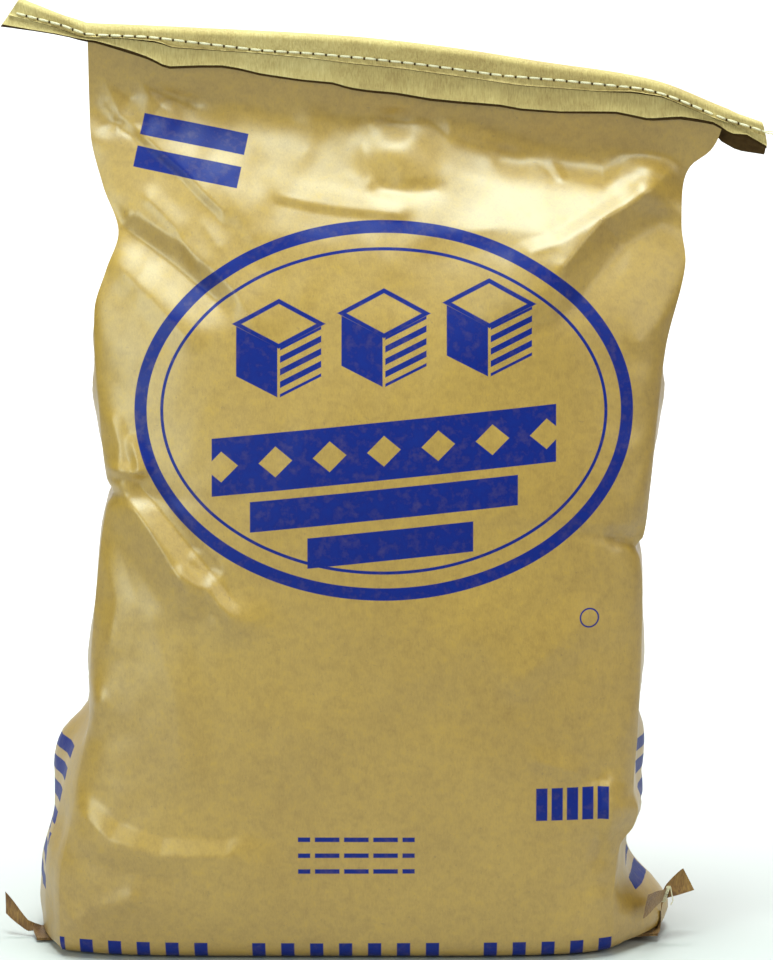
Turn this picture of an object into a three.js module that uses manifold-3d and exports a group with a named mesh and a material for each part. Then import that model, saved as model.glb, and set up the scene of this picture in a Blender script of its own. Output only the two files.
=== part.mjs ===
// A filled paper sack of granulated sugar, standing on its base. Millimetres, +Z up, front towards -Y.
// The sack is a box whose walls are moved onto the filled form: two faces, two gussets, a base and a
// flat mouth. The mouth and the base are closed by a folded crepe tape, a narrower binding over it, and
// a chain of stitches.

import * as THREE from "three";
import { mergeVertices } from "three/addons/utils/BufferGeometryUtils.js";
import Module from "manifold-3d";

const wasm = await Module();
wasm.setup();

// Driving sizes
const SACK_LENGTH = 600; // paper level at the mouth, counted up from the floor
const FOOT_RADIUS = 16; // how the faces round into the base
const FOOT_INSET_AT_EDGE = 0.25; // share of that rounding which the side edges take
const TAPE_THICKNESS = 0.7;
const LAYER_GAP = 0.4;
const BINDING_SHARE = 0.52; // the binding's leaf, as a share of the tape's leaf under it
const STITCH_SHARE = 0.38; // where the stitches run, as a share of the tape's leaf
const STITCH_PITCH = 8;
const THREAD_RADIUS = 0.5;
const SEAM_LENGTH = 490; // the mouth's seam, ends included
const TAPE_FLARE = 3.6; // how far the tape's free edge stands off the paper
const MOUTH_HALF = 1.9; // half the thickness of the closed mouth

// Height of the mouth over the floor, across the face: [place across, -1 left to 1 right, height]
const MOUTH_HEIGHT = [
  [-1, 591], [-0.68, 588.5], [-0.18, 583], [0.13, 576], [0.41, 567.5], [0.78, 555.5], [1, 538.5],
];
// Left and right edges of the faces: [paper level, place along X]
const LEFT_EDGE = [
  [0, -185], [14, -184], [29, -184], [45, -184], [60, -183], [86, -177], [104, -174], [126, -170],
  [140, -167], [155, -164], [170, -163], [201, -162], [266, -156], [298, -151], [306, -147], [315, -151],
  [357, -155.5], [422, -158.5], [448, -151], [472, -143.5], [500, -153.5], [533, -162], [600, -163],
];
const RIGHT_EDGE = [
  [0, 172], [16, 172], [33, 172], [50, 172], [64, 173], [79, 175], [86, 177], [96, 184], [108, 187],
  [121, 184], [165, 186.5], [264, 189], [289, 187], [297, 184], [304, 189], [336, 193], [436, 203],
  [493, 216], [520, 214], [545, 215], [562, 220], [573, 232], [587, 238], [600, 239],
];
// The side view: [paper level, middle plane, half depth at the centre, half depth at the edges]
const SIDE_VIEW = [
  [0, -1, 84, 70], [30, -2, 90, 72], [60, -2, 93, 72], [100, -2, 95, 70], [170, -2, 96, 66],
  [240, -2, 93, 62], [310, -2, 87, 60], [370, -2, 78, 55], [420, -2, 66, 48], [460, -2, 52, 40],
  [495, -3, 36, 28], [520, -4, 22, 17], [538, -7, 10, 7], [550, -9, 4.5, 3.2], [560, -11.5, 2.2, 2.1],
  [600, -25, MOUTH_HALF, MOUTH_HALF],
];
// How far the gussets stand out, or fold in where negative: [paper level, left reach, right reach]
const GUSSET_REACH = [
  [0, 17, 38], [16, 16, 38], [33, 16, 29], [50, 16, 16], [64, 15, 10], [79, 14, 6], [104, 13, 4],
  [136, 12, 3], [152, 6, 3], [165, 3, 3], [300, 3, 3], [400, 2, 2], [450, -5, -5], [490, -18, -18],
  [525, -26, -26], [560, -18, -18], [590, -3, -3], [600, 0, 0],
];
// How full the faces are: [paper level, crown exponent, roundness of the edges]
const FULLNESS = [
  [0, 6, 0], [60, 4.6, 0.3], [130, 3.2, 0.7], [220, 2.7, 0.75], [420, 2.7, 0.75], [500, 3.0, 0.35],
  [560, 4, 0], [600, 4, 0],
];
// How far the empty top's crease moves up: [place across, rise]
const CREASE_RISE = [
  [-1, 6], [-0.5, 0], [-0.12, 2], [0.03, 14], [0.18, 2], [0.5, -8], [0.74, -4], [0.9, 14], [1, 16],
];
// Creases and folds of the two faces: start and end are [x, z]; height is outwards; steep and soft are the
// widths of the two flanks, steep on the right of the way from start to end
const FRONT_FOLDS = [
  { start: [-146, 452], end: [-74, 414], height: -8, steep: 20, soft: 14 },
  { start: [-140, 500], end: [-92, 440], height: 4, steep: 12, soft: 26 },
  { start: [-150, 322], end: [-128, 318], height: 7, steep: 5, soft: 20 },
  { start: [-143, 304], end: [-92, 232], height: 6, steep: 20, soft: 11 },
  { start: [-128, 300], end: [-82, 238], height: -5, steep: 9, soft: 9 },
  { start: [-86, 222], end: [-52, 205], height: 4, steep: 12, soft: 12 },
  { start: [-180, 96], end: [-142, 72], height: 5, steep: 16, soft: 12 },
  { start: [-142, 72], end: [-64, 60], height: 5, steep: 18, soft: 16 },
  { start: [214, 520], end: [128, 440], height: 11, steep: 44, soft: 20 },
  { start: [186, 108], end: [150, 112], height: 5, steep: 12, soft: 14 },
  { start: [184, 74], end: [150, 78], height: -9, steep: 12, soft: 9 },
  { start: [150, 40], end: [186, 20], height: 5, steep: 14, soft: 12 },
];
const BACK_FOLDS = [
  { start: [150, 448], end: [66, 420], height: -7, steep: 16, soft: 20 },
  { start: [-150, 510], end: [-86, 436], height: 8, steep: 20, soft: 38 },
  { start: [152, 300], end: [96, 236], height: 6, steep: 12, soft: 20 },
  { start: [-156, 268], end: [-110, 236], height: -5, steep: 12, soft: 16 },
  { start: [-170, 84], end: [-70, 66], height: 5, steep: 14, soft: 18 },
  { start: [172, 92], end: [112, 70], height: 5, steep: 14, soft: 18 },
];
// The tape's leaf over the mouth: [place across, length]
const LEAF_LENGTH = [
  [-1, 9], [-0.86, 16.5], [-0.75, 21.5], [-0.5, 22.5], [-0.23, 26], [-0.11, 29.5], [0.035, 32],
  [0.3, 31], [0.58, 31], [0.78, 27], [0.92, 18], [1, 11],
];
// The tape's ends past the sack's corners
const LEFT_EAR = { length: 45, rise: 17, leaf: 15.5, lean: -0.62, forward: -3 };
const RIGHT_EAR = { length: 25, rise: -8, leaf: 20, lean: 0.3, forward: -5 };
const EAR_SPAN = { left: 0.24, right: 0.16 }; // the ends' share of the way across
const EAR_HALF = 0.8; // half the space between the leaves in an ear
// The seam under the base
const SEAM_START = -39; // the seam's front edge, along Y
const SEAM_SHIFT = 14; // how far back the seam's ends are
const SEAM_WIDTH = 30;
const GROOVE = { length: 500, margin: 2, depth: 4, steps: 40 }; // the groove in the base, for the seam
const CORNER_LIFT = 3; // how far the base's right corner is off the floor
const SEAM_LEVELS = { stitches: 0.85, binding: 1.6, tape: 2.65 };
const BASE_EAR = {
  left: { start: 204, length: 20, rise: 0 },
  right: { start: 207, length: 20, rise: 17 },
};

// A smooth line through stations, where column is the value to read
function follow(stations, at, column = 1) {
  const last = stations.length - 1;
  const x = Math.min(Math.max(at, stations[0][0]), stations[last][0]);
  let i = 0;
  while (i < last - 1 && x > stations[i + 1][0]) i++;
  const slope = (k) => {
    const before = stations[Math.max(k - 1, 0)];
    const after = stations[Math.min(k + 1, last)];
    return (after[column] - before[column]) / (after[0] - before[0]);
  };
  const [a, b] = [stations[i], stations[i + 1]];
  const span = b[0] - a[0];
  const f = (x - a[0]) / span;
  const g = 1 - f;
  return (
    a[column] * g * g * (1 + 2 * f) + b[column] * f * f * (3 - 2 * f) +
    slope(i) * span * f * g * g - slope(i + 1) * span * f * f * g
  );
}

const mix = (a, b, f) => a + (b - a) * f;

function smoothstep(low, high, x) {
  const f = Math.min(Math.max((x - low) / (high - low), 0), 1);
  return f * f * (3 - 2 * f);
}

// The height that a fold adds at a point of a face
function foldHeight(fold, x, z) {
  const [ax, az] = fold.start;
  const [bx, bz] = fold.end;
  const length = Math.hypot(bx - ax, bz - az);
  const along = ((x - ax) * (bx - ax) + (z - az) * (bz - az)) / length;
  const right = ((x - ax) * (bz - az) - (z - az) * (bx - ax)) / length;
  const reach = Math.min(fold.steep, fold.soft);
  const past = Math.max(0, -along, along - length) / reach;
  const width = right > 0 ? fold.steep : fold.soft;
  const across = Math.abs(right) / width;
  return fold.height * Math.exp(-past * past - across * Math.sqrt(1 + across));
}

// Where the level is, once the crease under the mouth has been moved
function movedLevel(s, level) {
  return level - follow(CREASE_RISE, s) * Math.exp(-(((level - 534) / 14) ** 2));
}

// The middle plane of the sack, with the waves of the empty top
function middlePlane(s, level) {
  const wave = 2.2 * Math.sin(5.3 * s + 0.6) + 1.2 * Math.sin(11 * s);
  return follow(SIDE_VIEW, movedLevel(s, level)) + wave * smoothstep(535, 590, level);
}

// Place along X of a point across the face
function across(s, level) {
  const round = follow(FULLNESS, level, 2);
  const eased = mix(s, s * (1.5 - 0.5 * s * s), round);
  return mix(follow(LEFT_EDGE, level), follow(RIGHT_EDGE, level), (eased + 1) / 2);
}

const baseLift = (x) => CORNER_LIFT * smoothstep(150, 206, x);

// A point of the sack. s goes across the faces, w from front to back, level up the paper
function sackPoint(s, w, level) {
  const z = (level / SACK_LENGTH) * follow(MOUTH_HEIGHT, s);
  const moved = movedLevel(s, level);
  const crown = 1 - Math.abs(s) ** follow(FULLNESS, level, 1);
  const half = mix(follow(SIDE_VIEW, moved, 3), follow(SIDE_VIEW, moved, 2), crown);
  const under = FOOT_RADIUS - Math.sqrt(Math.max(0, z * (2 * FOOT_RADIUS - z)));
  const inset = z < FOOT_RADIUS ? Math.min(under, half * 0.6) : 0;
  const reach = follow(GUSSET_REACH, level, s < 0 ? 1 : 2);
  const bulge = reach > 0 ? reach * (1 - w * w) : reach * (1 - Math.abs(w));
  let x = across(s, level) + Math.sign(s) * Math.abs(s) ** 12 * bulge;
  x -= Math.sign(s) * s * s * inset * FOOT_INSET_AT_EDGE;
  const window =
    (1 - Math.abs(s) ** 8) * smoothstep(0, 24, z) * (1 - smoothstep(545, 562, level));
  const folds = w < 0 ? FRONT_FOLDS : BACK_FOLDS;
  const relief = folds.reduce((sum, fold) => sum + foldHeight(fold, x, z), 0) * window;
  const depth = half - inset + relief * Math.abs(w) ** 4;
  return [x, middlePlane(s, level) + w * depth, z + baseLift(x) * (1 - smoothstep(0, 80, z))];
}

// Rows of the sack, closer together where it turns quickly
const ROW_LEVELS = [
  ...[0, 3, 8, 15, 24, 34, 44, 54, 64, 73, 82, 91, 100, 110, 122, 136, 152, 168],
  ...Array.from({ length: 16 }, (_, i) => 186 + i * 16.5),
  ...[449, 462, 474, 486, 498, 510, 520, 529, 538, 547, 554, 561, 568, 575, 583, 591, 600],
];

// The sack, as a box of rows whose vertices are moved onto the filled form
function sackGeometry(acrossSteps, depthSteps) {
  const rows = ROW_LEVELS.length - 1;
  const box = new THREE.BoxGeometry(2, 2, rows, acrossSteps, depthSteps, rows);
  const place = box.getAttribute("position");
  for (let i = 0; i < place.count; i++) {
    const row = Math.round(place.getZ(i) + rows / 2);
    const s = Math.sin((place.getX(i) * Math.PI) / 2) * 0.35 + place.getX(i) * 0.65;
    place.setXYZ(i, ...sackPoint(s, place.getY(i), ROW_LEVELS[row]));
  }
  return weld(box);
}

// A geometry whose shared vertices are one
function weld(geometry) {
  geometry.deleteAttribute("normal");
  geometry.deleteAttribute("uv");
  return mergeVertices(geometry, 1e-4);
}

// A thin sheet from a function of two places that gives [outer point, inner point]
function sheetGeometry(surface, steps, runs) {
  const box = new THREE.BoxGeometry(steps, runs, 1, steps, runs, 1);
  const place = box.getAttribute("position");
  for (let i = 0; i < place.count; i++) {
    const u = place.getX(i) / steps + 0.5;
    const v = place.getY(i) / runs + 0.5;
    place.setXYZ(i, ...surface(u, v)[place.getZ(i) > 0 ? 0 : 1]);
  }
  return weld(box);
}

// A round thread along a function of place, with a radius that may change
function threadGeometry(centre, radius, steps, sides) {
  const rod = new THREE.CylinderGeometry(1, 1, steps, sides, steps);
  const place = rod.getAttribute("position");
  for (let i = 0; i < place.count; i++) {
    const u = Math.min(Math.max(place.getY(i) / steps + 0.5, 0), 1);
    const [here, ahead] = [centre(u), centre(u + 1e-4)];
    const way = new THREE.Vector3(...ahead).sub(new THREE.Vector3(...here)).normalize();
    const side = new THREE.Vector3(0, 1, 0).cross(way).normalize();
    const up = side.clone().cross(way);
    const point = new THREE.Vector3(...here);
    point.addScaledVector(side, place.getX(i) * radius(u));
    point.addScaledVector(up, place.getZ(i) * radius(u));
    place.setXYZ(i, point.x, point.y, point.z);
  }
  return weld(rod);
}

// The folded tape's own frame at a place along the mouth: the ridge, the way down, the leaf and the spread
function mouthFrame(s) {
  const side = Math.sign(s);
  const within = side * Math.min(Math.abs(s), 1);
  const past = Math.max(0, Math.abs(s) - 1);
  const ear = side < 0 ? LEFT_EAR : RIGHT_EAR;
  const f = past / (side < 0 ? EAR_SPAN.left : EAR_SPAN.right);
  const leaf = mix(follow(LEAF_LENGTH, within), ear.leaf, Math.sqrt(f));
  const swing = ear.lean * f;
  return {
    s: within,
    ridge: [
      across(within, SACK_LENGTH) + side * ear.length * f,
      ear.forward * f * f,
      follow(MOUTH_HEIGHT, within) + ear.rise * f,
    ],
    down: [Math.sin(swing), -Math.cos(swing)],
    leaf,
    half: mix(MOUTH_HALF, EAR_HALF, smoothstep(0.04, 0.4, f)),
  };
}

// A point of the folded tape, where lower is how far below the mouth it is: side is -1 on the front leaf
function foldedPoint(s, side, lower, spread, flare) {
  const frame = mouthFrame(s);
  const radius = frame.half + spread;
  const free = Math.max(0, lower / frame.leaf - BINDING_SHARE) / (1 - BINDING_SHARE);
  const out = lower < 0 ? Math.sqrt(radius * radius - lower * lower) : radius + flare * free * free;
  const level = SACK_LENGTH * (1 - Math.max(lower, 0) / follow(MOUTH_HEIGHT, frame.s));
  const shift = across(frame.s, level) - across(frame.s, SACK_LENGTH);
  return [
    frame.ridge[0] + shift + frame.down[0] * lower,
    frame.ridge[1] + middlePlane(frame.s, level) + side * out,
    frame.ridge[2] + frame.down[1] * lower,
  ];
}

// Places from left to right: even over the middle, and closer together in the two ends
function stations(left, right, middleSteps, endSteps) {
  const ends = Array.from({ length: endSteps }, (_, i) => (i + 1) / endSteps);
  return [
    ...ends.map((f) => left.start - left.length * f).reverse(),
    ...Array.from({ length: middleSteps + 1 }, (_, i) => mix(left.start, right.start, i / middleSteps)),
    ...ends.map((f) => right.start + right.length * f),
  ];
}

// A tape folded over the mouth. share is how much of the leaf it covers, inner its space from the mouth
function foldedTape(share, inner, flare, middleSteps, endSteps) {
  const left = { start: -1.004, length: EAR_SPAN.left - 0.004 };
  const right = { start: 1.004, length: EAR_SPAN.right - 0.004 };
  const places = stations(left, right, middleSteps, endSteps);
  const steps = places.length - 1;
  const surface = (u, v) => {
    const s = places[Math.round(u * steps)];
    const frame = mouthFrame(s);
    const wave = 1 + 0.22 * Math.sin(9 * s + 1) + 0.16 * Math.sin(21 * s);
    const side = Math.sign(v - 0.5);
    const step = Math.abs(8 * v - 4);
    return [inner + TAPE_THICKNESS, inner].map((spread) => {
      const arc = -(frame.half + spread) * Math.cos((step * Math.PI) / 4);
      const lower = step < 2 ? arc : (frame.leaf * share * (step - 2)) / 2;
      return foldedPoint(s, side, lower, spread, flare * wave);
    });
  };
  return sheetGeometry(surface, steps, 8);
}

// The stitches on one leaf of the mouth
function mouthStitches(side, stepsEach, sides) {
  const count = Math.round(SEAM_LENGTH / STITCH_PITCH);
  const spread = 2 * TAPE_THICKNESS + 3 * LAYER_GAP + THREAD_RADIUS;
  const lowest = -1 - EAR_SPAN.left * 0.96;
  const highest = 1 + EAR_SPAN.right * 0.96;
  const centre = (u) => {
    const s = mix(lowest, highest, u);
    return foldedPoint(s, side, mouthFrame(s).leaf * STITCH_SHARE, spread, 0);
  };
  const radius = (u) => {
    const phase = u * count - Math.floor(u * count + 1e-6);
    return THREAD_RADIUS * (phase < 0.5 / stepsEach ? 0.5 : 1);
  };
  return threadGeometry(centre, radius, count * stepsEach, sides);
}

// The seam under the base: a flat band whose ends turn up outside the sack's corners
function seamPoint(x, across01, level) {
  const ear = x < 0 ? BASE_EAR.left : BASE_EAR.right;
  const f = Math.min(Math.max(0, Math.abs(x) - ear.start) / ear.length, 1);
  const turn = (Math.PI / 2) * smoothstep(0, 0.8, f);
  const width = SEAM_WIDTH * mix(1, 0.66, smoothstep(0, 0.8, f));
  const reach = (across01 - 0.5) * width;
  const middle = SEAM_START + SEAM_WIDTH / 2 + SEAM_SHIFT * smoothstep(0, 0.6, f);
  const lift = baseLift(x) + ear.rise * smoothstep(0, 1, f);
  return [
    x - Math.sign(x) * f * 2 * (across01 - 0.5),
    middle + reach * Math.cos(turn) - level * Math.sin(turn),
    lift + level * Math.cos(turn) + (reach + width / 2) * Math.sin(turn),
  ];
}

// A flat strip of the base's seam. from and to are shares of the seam's width
function seamBand(from, to, level, middleSteps, endSteps) {
  const left = { start: -BASE_EAR.left.start, length: BASE_EAR.left.length };
  const places = stations(left, BASE_EAR.right, middleSteps, endSteps);
  const steps = places.length - 1;
  const surface = (u, v) => {
    const x = places[Math.round(u * steps)];
    const place = mix(from, to, v);
    return [seamPoint(x, place, level + TAPE_THICKNESS), seamPoint(x, place, level)];
  };
  return sheetGeometry(surface, steps, 3);
}

// The thread along the base's seam
function seamStitches(steps, sides) {
  const [left, right] = [2 - BASE_EAR.left.start, BASE_EAR.right.start - 2];
  const centre = (u) => seamPoint(mix(left, right, u), STITCH_SHARE, SEAM_LEVELS.stitches);
  return threadGeometry(centre, () => THREAD_RADIUS, steps, sides);
}

// A welded geometry as a solid, and back
function solidOf(geometry) {
  return new wasm.Manifold(
    new wasm.Mesh({
      numProp: 3,
      vertProperties: geometry.getAttribute("position").array,
      triVerts: new Uint32Array(geometry.index.array),
    }),
  );
}

function geometryOf(solid) {
  const mesh = solid.getMesh();
  const geometry = new THREE.BufferGeometry();
  geometry.setAttribute("position", new THREE.BufferAttribute(mesh.vertProperties, 3));
  geometry.setIndex(new THREE.BufferAttribute(mesh.triVerts, 1));
  return geometry;
}

// The sack, with a groove under it for the folded seam
function groovedSack() {
  const width = SEAM_WIDTH + 2 * GROOVE.margin;
  const groove = new THREE.BoxGeometry(GROOVE.length, width, 2 * GROOVE.depth, GROOVE.steps, 1, 1);
  const place = groove.getAttribute("position");
  for (let i = 0; i < place.count; i++) {
    place.setY(i, place.getY(i) + SEAM_START - GROOVE.margin + width / 2);
    place.setZ(i, place.getZ(i) + baseLift(place.getX(i)));
  }
  return geometryOf(solidOf(sackGeometry(26, 6)).subtract(solidOf(weld(groove))));
}

const kraft = new THREE.MeshStandardMaterial({ color: 0xb8a468, roughness: 0.8, metalness: 0 });
const crepe = new THREE.MeshStandardMaterial({ color: 0xc2b67a, roughness: 0.9, metalness: 0 });
const cotton = new THREE.MeshStandardMaterial({ color: 0xf2eccf, roughness: 0.9, metalness: 0 });

const group = new THREE.Group();
function add(name, geometry, material) {
  const mesh = new THREE.Mesh(geometry, material);
  mesh.name = name;
  group.add(mesh);
}

add("sack", groovedSack(), kraft);
add("mouth_tape", foldedTape(1, LAYER_GAP, TAPE_FLARE, 34, 7), crepe);
add("mouth_binding", foldedTape(BINDING_SHARE, 2 * LAYER_GAP + TAPE_THICKNESS, 0, 34, 7), crepe);
add("mouth_stitches_front", mouthStitches(-1, 2, 3), cotton);
add("mouth_stitches_back", mouthStitches(1, 1, 3), cotton);
add("base_tape", seamBand(0, 1, SEAM_LEVELS.tape, 24, 9), crepe);
add("base_binding", seamBand(0, BINDING_SHARE, SEAM_LEVELS.binding, 24, 0), crepe);
add("base_stitches", seamStitches(56, 3), cotton);

export default group;
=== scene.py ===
# %% [markdown]
# A filled paper sack of sugar, standing on its base
#
# The real thing is a tube of stiff brown kraft paper, pressed flat with a fold down each side, sewn shut
# at both ends through a folded strip of crepe paper, and filled with about 28 litres of sugar. Everything
# that the eye reads on it comes from that: a full, slightly lumpy body, a flat fin at the top where there
# is no sugar, sharp creases where the paper had to give way, and a printed front. This lesson builds the
# paper first, then the strips and the thread, and then the finishes.
#
# Lengths in the tables below are millimetres, as on a drawing, and become metres when a mesh is made.

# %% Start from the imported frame
import math

import bmesh
import bpy
import numpy as np
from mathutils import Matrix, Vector


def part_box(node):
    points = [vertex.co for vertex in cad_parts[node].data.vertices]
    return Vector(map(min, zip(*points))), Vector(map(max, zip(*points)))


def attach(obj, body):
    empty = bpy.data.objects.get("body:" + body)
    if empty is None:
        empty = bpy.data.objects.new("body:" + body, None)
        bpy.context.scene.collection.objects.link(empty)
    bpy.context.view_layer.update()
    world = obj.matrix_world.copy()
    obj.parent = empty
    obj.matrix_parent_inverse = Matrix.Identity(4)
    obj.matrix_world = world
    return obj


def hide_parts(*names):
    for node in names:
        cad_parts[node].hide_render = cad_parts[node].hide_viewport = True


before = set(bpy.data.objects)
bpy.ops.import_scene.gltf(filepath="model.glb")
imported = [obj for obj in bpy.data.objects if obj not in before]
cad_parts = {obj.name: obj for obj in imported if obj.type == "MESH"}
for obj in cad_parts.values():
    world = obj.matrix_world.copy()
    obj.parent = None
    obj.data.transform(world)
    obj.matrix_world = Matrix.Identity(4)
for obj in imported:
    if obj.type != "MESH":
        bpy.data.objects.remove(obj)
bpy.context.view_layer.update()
BODY = "root"
MM = 0.001
sack_low, sack_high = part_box("sack")
print("the sack node runs from", np.round(sack_low, 3), "to", np.round(sack_high, 3))

# %% [markdown]
# The camera
#
# The photograph looks almost straight at the front, from a little above, through a long lens, so upright
# edges stay upright. Setting the camera first also lets later steps ask where a point of the paper lands
# in the picture, which is how the creases get their places.

# %% Camera
PICTURE_WIDTH, PICTURE_HEIGHT = 773, 960
PIXEL = 0.65  # millimetres of the sack's middle plane that one pixel covers
DISTANCE = 2400
ELEVATION = math.radians(9)
AIM = (26.1, 0.0, 299.3)


def add_camera():
    back = Vector((0, -math.cos(ELEVATION), math.sin(ELEVATION)))
    place = (Vector(AIM) + back * DISTANCE) * MM
    bpy.ops.object.camera_add(location=place, rotation=(math.pi / 2 - ELEVATION, 0, 0))
    camera = bpy.context.object
    camera.name = "photograph_view"
    camera.data.sensor_width = 36
    camera.data.lens = camera.data.sensor_width * DISTANCE / (PICTURE_HEIGHT * PIXEL)
    bpy.context.scene.camera = camera


def seen_at(points):
    """Where points, in millimetres, land in the picture: two arrays, across and down, in pixels."""
    away = points - np.array(AIM)
    forward = away[:, 1] * math.cos(ELEVATION) - away[:, 2] * math.sin(ELEVATION)
    upward = away[:, 1] * math.sin(ELEVATION) + away[:, 2] * math.cos(ELEVATION)
    shrink = DISTANCE / (DISTANCE + forward) / PIXEL
    return PICTURE_WIDTH / 2 + away[:, 0] * shrink, PICTURE_HEIGHT / 2 - upward * shrink


add_camera()
print("lens", round(bpy.context.scene.camera.data.lens, 1), "mm")

# %% [markdown]
# Small helpers for modelling
#
# Operators act on whatever is selected, so each step first clears the selection and then picks faces or
# edges by their place. These few helpers keep that to one line, and leave each finished piece at the
# origin, unturned and unscaled.

# %% Modelling helpers
LEVEL_EDGE = 1e-4  # an edge that climbs less than this along an axis lies across it
# The sharpest turn between two faces, in degrees, that the shading smooths over
PAPER_ANGLE, STRIP_ANGLE, THREAD_ANGLE, FLOOR_ANGLE = 38, 50, 60, 40


def only(piece):
    """Selects one piece and nothing else, and makes it the active one."""
    bpy.ops.object.select_all(action="DESELECT")
    piece.select_set(True)
    bpy.context.view_layer.objects.active = piece
    return piece


def edit(piece):
    """Enters edit mode with nothing selected, and gives the mesh to pick from."""
    only(piece)
    bpy.ops.object.mode_set(mode="EDIT")
    bpy.ops.mesh.select_all(action="DESELECT")
    return bmesh.from_edit_mesh(piece.data)


def leave_edit():
    bpy.ops.object.mode_set(mode="OBJECT")


def settle(piece, name):
    """Names a finished piece and puts its place into its mesh."""
    only(piece)
    bpy.ops.object.transform_apply(location=True, rotation=True, scale=True)
    piece.name = name
    piece.data.name = name
    print(name, "has", len(piece.data.vertices), "corners")
    return piece


def corners(piece):
    """All vertices of a piece as rows of an array."""
    flat = np.zeros(len(piece.data.vertices) * 3)
    piece.data.vertices.foreach_get("co", flat)
    return flat.reshape(-1, 3)


def move_corners(piece, places):
    piece.data.vertices.foreach_set("co", np.ascontiguousarray(places, dtype=float).ravel())
    piece.data.update()


def cut_box(name, counts):
    """A two-unit box with its edges along X, Y and Z cut into equal steps by the subdivide operator."""
    bpy.ops.object.select_all(action="DESELECT")
    bpy.ops.mesh.primitive_cube_add(size=2, calc_uvs=False)
    piece = bpy.context.object
    for axis, count in enumerate(counts):
        if count > 1:
            cut_along(piece, axis, count - 1)
    piece.name = name
    return piece


def cut_rod(sides, cuts):
    """A rod from -1 to 1 along Z, with a radius of one, cut across into equal steps."""
    bpy.ops.object.select_all(action="DESELECT")
    bpy.ops.mesh.primitive_cylinder_add(vertices=sides, radius=1, depth=2, calc_uvs=False)
    rod = bpy.context.object
    cut_along(rod, 2, cuts)
    return rod


def cut_along(piece, axis, cuts):
    """Cuts the edges that run along one axis, the longest ones of a new primitive."""
    mesh = edit(piece)
    for edge in mesh.edges:
        start, end = (corner.co for corner in edge.verts)
        edge.select = abs(start[axis] - end[axis]) > LEVEL_EDGE
    bmesh.update_edit_mesh(piece.data)
    bpy.ops.mesh.subdivide(number_cuts=cuts)
    leave_edit()


def joined_copies(master, copies):
    """Copies of one piece, each with its corners at its own places in millimetres, joined into one."""
    pieces = []
    for places in copies:
        piece = master.copy()
        piece.data = master.data.copy()
        bpy.context.collection.objects.link(piece)
        move_corners(piece, places * MM)
        pieces.append(piece)
    bpy.data.objects.remove(master)
    bpy.ops.object.select_all(action="DESELECT")
    for piece in pieces:
        piece.select_set(True)
    bpy.context.view_layer.objects.active = pieces[0]
    bpy.ops.object.join()
    return bpy.context.object


def turn_outward(piece):
    edit(piece)
    bpy.ops.mesh.select_all(action="SELECT")
    bpy.ops.mesh.normals_make_consistent(inside=False)
    leave_edit()


def smooth(piece, angle):
    only(piece)
    bpy.ops.object.shade_smooth_by_angle(angle=math.radians(angle))


def shaped_strip(strip, places, name):
    """A cut strip with its corners put at places in millimetres, and with its name."""
    move_corners(strip, places * MM)
    settle(strip, name)
    smooth(strip, STRIP_ANGLE)
    return strip


def sewn_thread(thread, name):
    """A piece of thread with its faces turned outward, and with its name."""
    turn_outward(thread)
    settle(thread, name)
    smooth(thread, THREAD_ANGLE)
    return thread


def finish_piece(piece, material, slot, *nodes):
    """Gives a piece its material and its body, and hides the nodes that it stands for. The slot is not used.
    """
    piece.data.materials.clear()
    piece.data.materials.append(material)
    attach(piece, BODY)
    if nodes:
        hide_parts(*nodes)
    print(piece.name, "has", len(piece.data.polygons), "faces")


# %% [markdown]
# The form of the filled sack
#
# The form is told by how it changes with height: where the two edges of the face are, how deep the body
# is, how full the face is, and how far the side folds stand out or tuck in. A smooth line runs through
# each column of stations. The same stations shape the solid that the physics uses, so the paper here sits
# on it everywhere.

# %% Stations of the form
SACK_LENGTH = 600
FOOT_RADIUS = 16
FOOT_INSET_AT_EDGE = 0.25
CORNER_LIFT = 3
MOUTH_HALF = 1.9
TOP_CREASE_LEVEL, TOP_CREASE_REACH = 534, 14  # the crease between the filling and the empty top

MOUTH_HEIGHT = [
    (-1, 591), (-0.68, 588.5), (-0.18, 583), (0.13, 576), (0.41, 567.5), (0.78, 555.5), (1, 538.5),
]
LEFT_EDGE = [
    (0, -185), (14, -184), (29, -184), (45, -184), (60, -183), (86, -177), (104, -174), (126, -170),
    (140, -167), (155, -164), (170, -163), (201, -162), (266, -156), (298, -151), (306, -147), (315, -151),
    (357, -155.5), (422, -158.5), (448, -151), (472, -143.5), (500, -153.5), (533, -162), (600, -163),
]
RIGHT_EDGE = [
    (0, 172), (16, 172), (33, 172), (50, 172), (64, 173), (79, 175), (86, 177), (96, 184), (108, 187),
    (121, 184), (165, 186.5), (264, 189), (289, 187), (297, 184), (304, 189), (336, 193), (436, 203),
    (493, 216), (520, 214), (545, 215), (562, 220), (573, 232), (587, 238), (600, 239),
]
# Paper level, middle plane, half depth at the centre, half depth at the edges
SIDE_VIEW = [
    (0, -1, 84, 70), (30, -2, 90, 72), (60, -2, 93, 72), (100, -2, 95, 70), (170, -2, 96, 66),
    (240, -2, 93, 62), (310, -2, 87, 60), (370, -2, 78, 55), (420, -2, 66, 48), (460, -2, 52, 40),
    (495, -3, 36, 28), (520, -4, 22, 17), (538, -7, 10, 7), (550, -9, 4.5, 3.2), (560, -11.5, 2.2, 2.1),
    (600, -25, MOUTH_HALF, MOUTH_HALF),
]
# Paper level, reach of the left side fold, reach of the right one
GUSSET_REACH = [
    (0, 17, 38), (16, 16, 38), (33, 16, 29), (50, 16, 16), (64, 15, 10), (79, 14, 6), (104, 13, 4),
    (136, 12, 3), (152, 6, 3), (165, 3, 3), (300, 3, 3), (400, 2, 2), (450, -5, -5), (490, -18, -18),
    (525, -26, -26), (560, -18, -18), (590, -3, -3), (600, 0, 0),
]
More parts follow.
